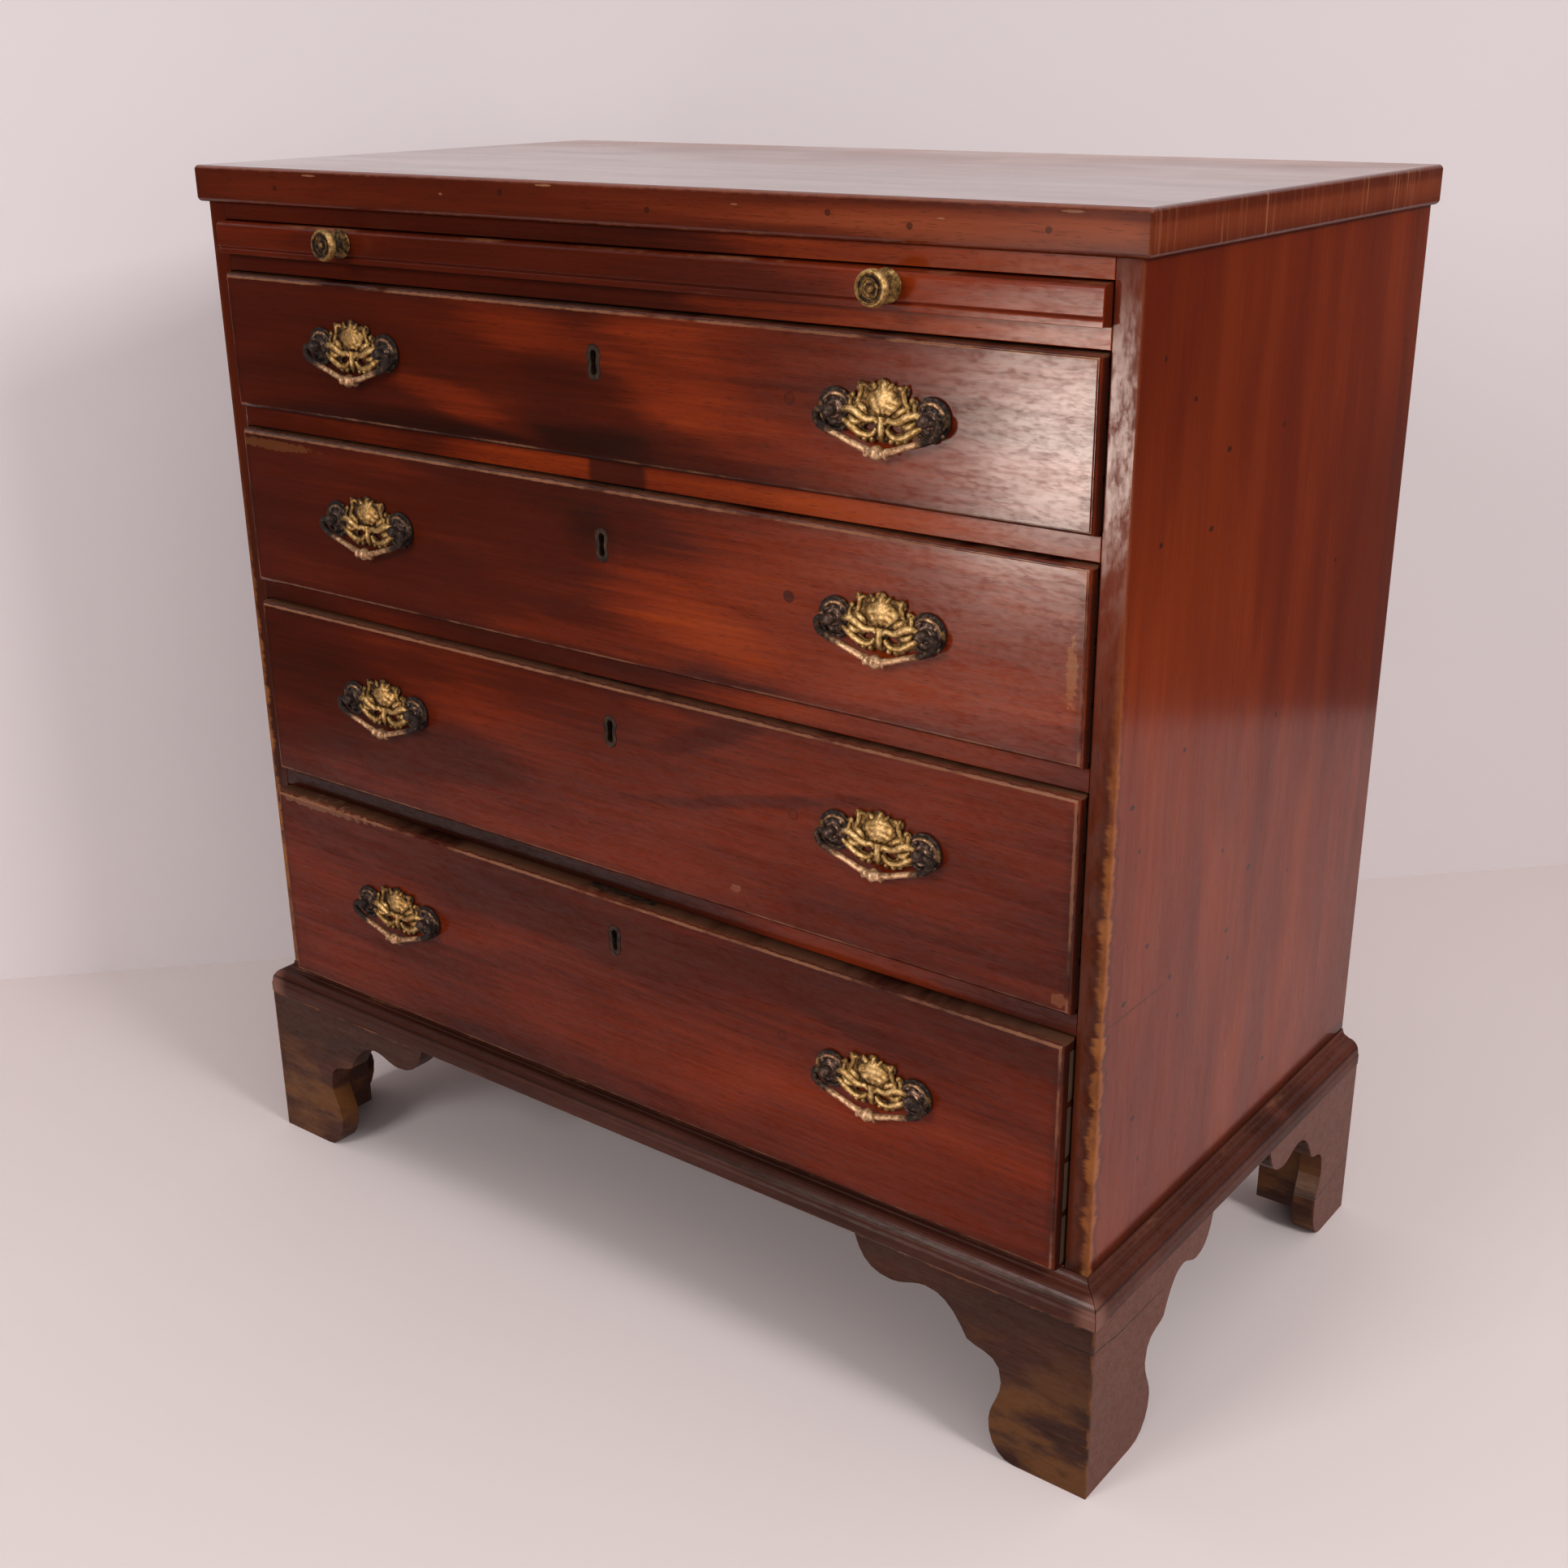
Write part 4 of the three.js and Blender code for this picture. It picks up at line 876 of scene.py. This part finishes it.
def topMarks(f, chip):
    ends = f.x.between(0.3885, 0.3893)
    streaks = f.stretched(f.y * 300, f.z * 9, 0.0, 3.0, 0.7)
    gather = f.stretched(f.y * 16, 0.0, 3.0, 3.0).between(0.44, 0.62)
    pale = streaks.between(0.50, 0.74) * ends * (gather * 0.65 + 0.12)
    f.over(ends * 0.55, tone(82, 30, 12))
    f.over(pale, tone(176, 116, 80))
    upper = (f.z - (chip - 0.5) * 0.004).between(0.8045, 0.8068) * f.y.between(-0.192, -0.196)
    f.over(upper * 0.35, tone(150, 84, 58))
    smudge = f.stretched(f.x * 3.5, f.y * 6, 1.0, 3.0, 0.6).between(0.40, 0.66)
    bare = f.z.between(0.8068, 0.8073) * f.y.between(-0.10, 0.20) * (smudge * 0.6 + 0.4)
    f.over(bare * 0.85, tone(152, 96, 66))
    return pale


# The sides: a golden strip worn along the front corner, widest below, painted shade on the upper front and a
# band behind, and a darker band just above the moulding
def sideMarks(f, chip):
    fromCorner = (f.y + 0.191).most(0.3845 - abs(f.x))
    width = f.stretched(f.z * 14, f.z * 60, 2.0, 4.0, 0.7)
    low = f.z.between(0.62, 0.40)
    reach = fromCorner - (width - 0.42) * 0.022 * (low * 0.9 + 0.15) - (chip - 0.5) * 0.004
    patchy = f.stretched(f.y * 60, f.x * 60, f.z * 45, 4.0, 0.7).between(0.36, 0.62)
    strip = reach.between(0.0046, 0.0) * (low * 0.55 + 0.15) * (patchy * 0.50 + 0.45)
    front = f.y.between(-0.1885, -0.1905)
    f.over(front * (low * 0.55 + 0.15), tone(64, 34, 22))
    f.over(front * f.x.between(0.1, -0.1) * 0.6, tone(44, 17, 9))
    f.over(front * f.z.between(0.50, 0.66) * f.x.between(0.1, 0.3) * 0.6, tone(132, 66, 48))
    # Painted shade: the upper front of each side and a band behind it are darkened
    shade = f.z.between(0.52, 0.72) * f.y.between(0.06, -0.12) * 0.50
    shade = shade.most(f.z.between(0.72, 0.60) * f.z.between(0.36, 0.46) * f.y.between(0.03, 0.15) * 0.55)
    f.over(shade, tone(72, 16, 3))
    f.over(f.z.between(0.172, 0.159) * 0.8, tone(40, 17, 10))
    back = f.y.between(0.193, 0.198) * 0.3
    f.over(back, tone(60, 22, 10))
    dirt = (abs(reach - 0.0055)).between(0.004, 0.0005) * low * 0.5
    f.over(dirt, tone(52, 22, 12))
    f.over(strip, tone(158, 98, 52))
    return strip


# Worm holes in the sides, as places of y and z; the left side has the first six
wormHoles = [(-0.160, 0.727), (-0.152, 0.623), (-0.088, 0.620), (-0.155, 0.438), (-0.103, 0.487),
             (-0.164, 0.340), (0.005, 0.667), (-0.102, 0.334), (-0.071, 0.664), (0.032, 0.472),
             (-0.137, 0.369), (-0.020, 0.335), (-0.131, 0.215), (-0.086, 0.300), (0.008, 0.371),
             (-0.036, 0.398), (0.062, 0.202), (-0.168, 0.470), (0.076, 0.345), (-0.014, 0.312),
             (-0.142, 0.250), (0.110, 0.560), (-0.120, 0.700)]


def dressTop():
    knocks = [spotAt(*at, *size, tone(188, 134, 98), share, 2.4) for at, size, share in topKnocks]
    knocks += [spotAt(*at, 0.0022, 0.0020, tone(40, 16, 9)) for at in topDents]

    def fade(f):
        thin = 1.0 - f.y.between(-0.10, 0.22) * (f.noise(f.place, 7.0, 3.0).between(0.30, 0.70) * 0.3 + 0.15)
        return thin * (f.z.between(0.8060, 0.8072) * 0.45 + f.z.between(0.7822, 0.7840) * 0.40 + 0.05)

    redEnd = patchAt(0.330, 0.7940, 0.220, 0.0085, 0.40)
    wear("top", mahogany("topWood", "x", topTones, 0.3, boxOf("top"), 0.25, 1.04, 0.13, lines=topMarks,
                         spots=knocks, base=-0.05, fade=fade, coatIor=1.66, patches=[redEnd],
                         crazed=0.15), "board")


def dressSides():
    wormDark = tone(34, 14, 10)
    holes = [spotAt(*at, 0.0016 + 0.0007 * (i % 3), 0.0017, wormDark, 0.8, side=True)
             for i, at in enumerate(wormHoles)]
    holes.append(spotAt(-0.148, 0.3315, 0.040, 0.0007, wormDark, 0.6, 0.8, side=True))  # a scratch

    def fade(f):
        mottled = f.stretched(f.x * 90, 0.0, f.z * 40, 4.0, 0.7).between(0.62, 0.38)
        return 1.0 - f.y.between(-0.1880, -0.1905) * (mottled * 0.5 + 0.45)

    for side in sides:
        node = "side_" + side
        wear(node, mahogany(node + "Wood", "z", sideTones, 0.7, polish=0.50, gloss=0.13, base=-0.03,
                            lines=sideMarks, spots=holes if side == "right" else holes[:6], fade=fade,
                            crazed=0.35), "board")


# Patches of a rail, as place along x, width and lift; the upper rail has a darker piece let in
railPatches = {"divider_middle": (0.490, ((-0.180, 0.260, -0.08), (0.200, 0.120, 0.24),
                                 (0.330, 0.060, 0.12))),
               # The lower rail's first patch darkens its left part as a painted shadow under the third drawer's
               # lip
               "divider_lower": (0.332, ((-0.180, 0.260, -0.24), (0.200, 0.120, 0.16),
                                (0.330, 0.060, -0.12))),
               "divider_upper": (0.626, ((-0.065, 0.080, 0.26), (0.130, 0.140, 0.26), (0.270, 0.140, 0.38)))}


def dressRails():
    redder = patchAt(0.290, 0.700, 0.220, 0.5, 0.48)
    railWood = mahogany("railWood", "x", frontTones, 1.7, polish=0.33, base=-0.09, patches=[redder])
    for node in ("top_rail", "slide_rail", "bottom_board"):
        wear(node, railWood, "rail")
    letIn = spotAt(0.011, 0.626, 0.0255, 0.05, tone(60, 19, 8), 0.9, 0.1)
    for node, (height, rows) in railPatches.items():
        patches = [patchAt(x, height, wide, 0.03, lift) for x, wide, lift in rows]
        seed, polish, base, spots = 1.9, 0.40, -0.10, []
        if node == "divider_upper":
            seed, polish, base, spots = 1.7, 0.26, -0.12, [letIn]
        wood = mahogany(node + "Wood", "x", frontTones, seed, polish=polish, base=base, patches=patches,
                        spots=spots)
        wear(node, wood, "rail")


nailSettings = {"rows": (0.150, 0.332, 0.490, 0.628, 0.774),
                "columns": (-0.340, -0.205, -0.070, 0.070, 0.205, 0.340)}


def dressBackAndBase():
    backNails = [(x, z) for z in nailSettings["rows"] for x in nailSettings["columns"]]
    backTones = [tone(96, 66, 40), tone(158, 118, 76)]
    wear("back_panel", plainWood("backPine", "z", backTones, 0.2, nails=backNails), "back")
    baseWood = mahogany("baseWood", "x", mouldingTones, 2.3, polish=0.22, gloss=0.25, lines=mouldingMarks)
    for run in ("front", "left", "right"):
        wear("base_moulding_" + run, baseWood, "rail")
    for end in ("front", "back"):
        for side in sides:
            node = f"foot_{end}_{side}"
            wear(node, mahogany(node + "Wood", "x", footTones, 2.9, boxOf(node), 0.3, 0.25, 0.28,
                                lines=footMarks), "board")


# The moulding: rubbed along its upper and lower edges, dark between, with a painted sheen at the front corners
def mouldingMarks(f, chip):
    breaks = f.stretched(f.x * 16, f.y * 16, f.z * 40, 4.0, 0.7).between(0.50, 0.68)
    upper = (abs(f.z - 0.1545) + (chip - 0.5) * 0.003).between(0.0026, 0.0008)
    lower = (f.z + (chip - 0.5) * 0.003).between(0.1345, 0.1325)
    corner = (abs(f.x) - f.y).between(0.585, 0.602)
    rub = (upper * 0.45).most(lower * 0.15) * breaks
    # Painted sheen: the front corners are painted pale
    f.over(corner * 0.5, tone(140, 96, 82))
    f.over((abs(f.z - 0.1455)).between(0.0016, 0.0004) * 0.6, tone(26, 11, 8))
    f.over(rub, tone(140, 90, 62))
    return rub


# The feet: worn browner to the ground, with cracks along the grain, and painted light on the outer side of the
# right feet
def footMarks(f, chip):
    # Painted light: the outer side of the right feet is painted lighter, as if lit
    paintedShadingFlank = f.x.between(0.3965, 0.3985) * f.y.between(-0.2050, -0.2035)
    f.over(paintedShadingFlank * (chip * 0.5 + 0.25), tone(116, 72, 60))
    low = f.z.between(0.125, 0.040) * f.stretched(f.x * 14, f.y * 14, f.z * 40, 4.0, 0.6).between(0.42, 0.60)
    f.over(low * (1 - paintedShadingFlank) * 0.65, tone(106, 66, 32))
    edge = (0.399 - abs(f.x)).most(f.y + 0.206)
    strip = (edge + (chip - 0.5) * 0.004).between(0.0028, 0.0006)
    strip = strip * f.noise(f.place, 38.0, 3.0).between(0.42, 0.6)
    f.over(strip * 0.3, tone(122, 74, 42))
    sway = f.stretched(f.x * 22, f.y * 22, 0.0, 3.0) * 0.008
    ahead = (abs(f.z + f.y * 0.065 + sway - 0.1045)).between(0.0009, 0.0002) * f.y.between(-0.10, -0.13)
    behind = (abs(f.z - f.y * 0.09 + sway - 0.0280)).between(0.0009, 0.0002) * f.y.between(0.09, 0.12)
    crack = ahead.most(behind) * f.x.between(0.36, 0.39)
    f.over(crack * 0.85, tone(24, 12, 8))
    return strip * 0.5


def dressSlide():
    slideEnd = patchAt(0.310, 0.757, 0.160, 0.5, 0.22)
    wear("brushing_slide", mahogany("slideWood", "x", frontTones, 3.1, polish=0.42, base=-0.08,
                                    lines=slideMarks, patches=[slideEnd]), "rail")


# The slide: thin broken pale lines along the edges of its moulding, and painted shade on its right end where it
# meets the case
def slideMarks(f, chip):
    breaks = f.stretched(f.x * 9, f.y * 4, f.z * 30, 4.0, 0.7).between(0.48, 0.66)
    upper = (f.z + (chip - 0.5) * 0.0016).between(0.7672, 0.7684)
    lower = (f.z + (chip - 0.5) * 0.0016).between(0.7480, 0.7470)
    rub = (upper * 0.55).most(lower * 0.25) * breaks * f.y.between(-0.190, -0.196)
    # Painted shade on the slide's right end, behind its face
    f.over(f.y.between(-0.2001, -0.1990) * f.x.between(0.1, 0.3) * 0.7, tone(48, 16, 9))
    f.over(rub, tone(150, 98, 68))
    return rub


# Lacquered brass, dark with age where it lies low: tones run from the dirt to the rubbed heights, and pieces on
# the left are painted darker as painted shade
def brassFinish(name, tones, rough=0.44):
    f = Finish(name)
    tarnish = f.noise(f.place, 300.0, 4.0, 0.68)
    height = f.node("Attribute", {"attribute_name": "relief"}).out("Fac")
    # Painted shade: the x term makes the brass on the left darker than on the right
    level = tarnish * 1.05 + height * 0.40 + f.x.between(-0.30, 0.10) * 0.09 - 0.29
    f.colour = f.ramp(level, zip((0.30, 0.44, 0.62, 0.80), tones))
    roughness = level.between(0.65, 0.35) * 0.25 + rough
    f.surface(colour=f.colour, roughness=roughness, metal=0.72, normal=f.bump(tarnish, 0.7, 0.0007))
    return f.material


giltTones = [tone(40, 26, 15), tone(104, 74, 36), tone(156, 120, 66), tone(208, 176, 122)]
bailTones = [tone(36, 25, 21), tone(84, 60, 43), tone(136, 100, 68), tone(206, 166, 128)]
darkTones = [tone(22, 16, 14), tone(44, 32, 27), tone(78, 58, 48), tone(166, 128, 104)]


def ironFinish(name):
    f = Finish(name)
    rust = f.noise(f.place, 180.0, 4.0, 0.62)
    f.colour = f.ramp(rust, [(0.35, tone(24, 16, 12)), (0.6, tone(58, 39, 28)), (0.75, tone(92, 62, 42))])
    f.surface(colour=f.colour, roughness=0.62 + (rust - 0.5) * 0.3, metal=0.2, normal=f.bump(rust, 0.3, 0.0003),
              specular=0.15)
    return f.material


# Drawer fronts: how far each edge is worn, flames and streaks of the figure as place, size, lift and
# turn, fillings and knocks
# dark is the tone of filled holes, of the band and step round the field, and of the painted shade on the
# fronts' flanks
dark = tone(30, 12, 8)
frontSettings = [
    {"seed": 1.3, "rub": (0.70, 0.50, 0.25), "base": -0.12, "polish": 0.41, "patches": [
        (0.260, 0.690, 0.230, 0.110, 0.18), (0.085, 0.690, 0.075, 0.036, 0.13, -25),
        (-0.060, 0.717, 0.090, 0.015, 0.15, -8), (0.055, 0.720, 0.055, 0.014, 0.13, -10),
        (-0.125, 0.662, 0.075, 0.013, 0.17, -12), (-0.015, 0.668, 0.075, 0.022, -0.10, -15),
        (-0.220, 0.640, 0.130, 0.009, -0.20), (0.055, 0.648, 0.120, 0.022, -0.15)],
     "spots": [spotAt(0.159, 0.690, 0.0042, 0.0042, dark, ring=True)]},
    {"seed": 2.6, "rub": (0.80, 0.45, 0.50), "base": -0.15, "polish": 0.62, "patches": [
        # On the second drawer the first patch lifts the right end, partly as painted sheen
        (0.270, 0.565, 0.230, 0.120, 0.29), (0.060, 0.543, 0.110, 0.020, 0.09, -14),
        (-0.250, 0.606, 0.090, 0.010, 0.13), (0.010, 0.593, 0.095, 0.013, -0.08, -6),
        (-0.020, 0.507, 0.090, 0.013, 0.13), (-0.010, 0.583, 0.024, 0.015, -0.12)],
     "spots": [spotAt(0.157, 0.568, 0.0045, 0.0040, dark),
               spotAt(0.357, 0.556, 0.0040, 0.0160, tone(160, 104, 54), 0.4, 3.2),
               spotAt(-0.330, 0.608, 0.045, 0.0038, tone(110, 66, 34), 0.45, 1.6)]},
    {"seed": 3.9, "rub": (0.80, 0.55, 0.50), "base": -0.05, "polish": 0.30, "patches": [
        (-0.320, 0.450, 0.140, 0.040, -0.20), (-0.190, 0.395, 0.100, 0.024, -0.14, 6),
        (-0.330, 0.400, 0.080, 0.030, -0.11), (0.240, 0.455, 0.180, 0.034, 0.16),
        (0.120, 0.425, 0.110, 0.005, -0.13, 12), (0.090, 0.462, 0.045, 0.008, -0.11, 20),
        (0.046, 0.472, 0.028, 0.007, 0.10)],
     "spots": [spotAt(0.159, 0.423, 0.0042, 0.0042, dark, ring=True),
               spotAt(0.359, 0.349, 0.0045, 0.0050, tone(136, 84, 54), 0.4, 3.2),
               spotAt(0.110, 0.358, 0.0040, 0.0034, tone(138, 84, 60), 0.45, 2.6)]},
    {"seed": 5.2, "rub": (0.70, 0.45, 0.50), "base": -0.02, "polish": 0.27, "patches": [
        (0.000, 0.302, 0.400, 0.026, -0.11), (0.100, 0.225, 0.260, 0.050, 0.09),
        (-0.125, 0.169, 0.070, 0.011, -0.15), (-0.250, 0.215, 0.120, 0.006, -0.06),
        (0.235, 0.282, 0.080, 0.006, -0.08, -5)],
     "spots": [spotAt(0.152, 0.262, 0.0042, 0.0038, dark, ring=True),
               spotAt(-0.315, 0.3195, 0.055, 0.0032, tone(128, 88, 64), 0.45, 2.6)]},
]
edgeSettings = {"inset": 0.0025, "step": 0.0007, "line": 0.0006}


# The edge of a drawer front: a rubbed arris round the field, a darker step, a worn outer edge, and painted
# shade on the ends, top and bottom behind the face
def frontEdges(low, high, rub):
    e = edgeSettings

    def lines(f, chip):
        top, bottom, ends = rub
        up = f.z - (high[2] - e["inset"])
        down = (low[2] + e["inset"]) - f.z
        across = abs(f.x) - (high[0] - e["inset"])
        out = up.most(down).most(across)
        breaks = f.stretched(f.x * 13, f.y * 4, f.z * 13, 4.0, 0.7)
        share = up.between(-0.004, 0.0) * top
        share = share.most(down.between(-0.004, 0.0) * bottom).most(across.between(-0.004, 0.0) * ends)
        corner = (up.most(down) + across).between(-0.016, -0.002)
        worn = (breaks + share * 0.24 + corner * 0.16).between(0.52, 0.72)
        wander = (chip - 0.5) * 0.0016
        step = (abs(out - e["step"])).between(0.0008, 0.0002)
        grime = out.between(-0.007, 0.0) * 0.35 * (1 - corner)
        f.over(grime.most(step * 0.85), dark)
        arris = (abs(out) + wander).between(e["line"] * 2, e["line"] * 0.7) * worn
        rim = (out + wander).between(0.0014, 0.0022) * up.between(0.0002, 0.0012) * worn * share
        # Painted shade: the ends, top and bottom of the front behind its face are darkened, as they lie in the
        # gap to the case
        paintedShadingFlank = f.y.between(low[1] + 0.0008, low[1] + 0.004) * f.y.between(high[1] - 0.0005, high[1] - 0.003)
        f.over(paintedShadingFlank * 0.88, dark)
        line = arris.most(rim * 0.4) * (share * 0.75 + 0.08).least(0.8)
        f.over(line, tone(156, 106, 78))
        return line

    return lines


def dressDrawers():
    oakTones = [tone(120, 84, 50), tone(178, 138, 90)]
    # The drawer sides get painted shade at their front ends
    oak = plainWood("oakLining", "y", oakTones, 0.4, -0.183)
    oakAcross = plainWood("oakAcross", "x", oakTones, 0.9)
    gilt = brassFinish("giltBrass", giltTones)
    blackened = brassFinish("darkBrass", darkTones)
    bright = brassFinish("bailBrass", bailTones)
    iron = ironFinish("ironFinish")
    for number in drawers:
        name = f"drawer{number}_"
        s = frontSettings[number - 1]
        edges = frontEdges(*boxOf(name + "front"), s["rub"])
        patches = [patchAt(*patch) for patch in s["patches"]]
        front = mahogany(name + "frontWood", "x", frontTones, s["seed"], polish=s["polish"], patches=patches,
                         lines=edges, spots=s["spots"], base=s["base"])
        wear(name + "front", front, "front")
        for side in sides:
            wear(name + "side_" + side, oak)
        wear(name + "back", oakAcross)
        wear(name + "bottom", oakAcross)
        wear(name + "lock", iron)
    makeHandles(gilt, blackened, bright)


# Four screws hold each lock to the back of its front; their heads are domed and slotted
screwSettings = {"radius": 0.0030, "rise": 0.0009, "slot": 0.00035, "sunk": 0.4, "steps": 16, "inset": 0.006,
                 "upper": 0.034, "ways": (20, 75, 110, 160),
                 "profile": ((1, 0), (0.92, 0.55), (0.5, 1), (0.1, 1.1))}


def makeLockScrews(finish):
    s = screwSettings
    for number in drawers:
        low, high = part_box(f"drawer{number}_lock")
        heads = []
        for i, turn in enumerate(s["ways"]):
            dome = [(s["radius"] * share, s["rise"] * rise) for share, rise in s["profile"]]
            head = turned("screw", dome, s["steps"], finish)
            for vertex in head.data.vertices:
                if abs(vertex.co.x) < s["slot"] and vertex.co.y < 0:
                    vertex.co.y *= s["sunk"]
            across, up = (low.x + s["inset"], high.x - s["inset"]), (low.z + s["inset"], low.z + s["upper"])
            place = (across[i % 2], high.y, up[i // 2])
            head.data.transform(Matrix.Rotation(radians(turn), 4, "Y"))
            head.data.transform(Matrix.Translation(place) @ Matrix.Rotation(pi, 4, "Z"))
            heads.append(head)
        screws = smooth(joined(f"lockScrews{number}", heads), 40)
        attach(screws, f"drawer{number}")


dressTop()
dressSides()
dressRails()
dressBackAndBase()
dressSlide()
dressDrawers()
makeLockScrews(ironFinish("screwIron"))
print("finishes applied")

bpy.context.view_layer.update()
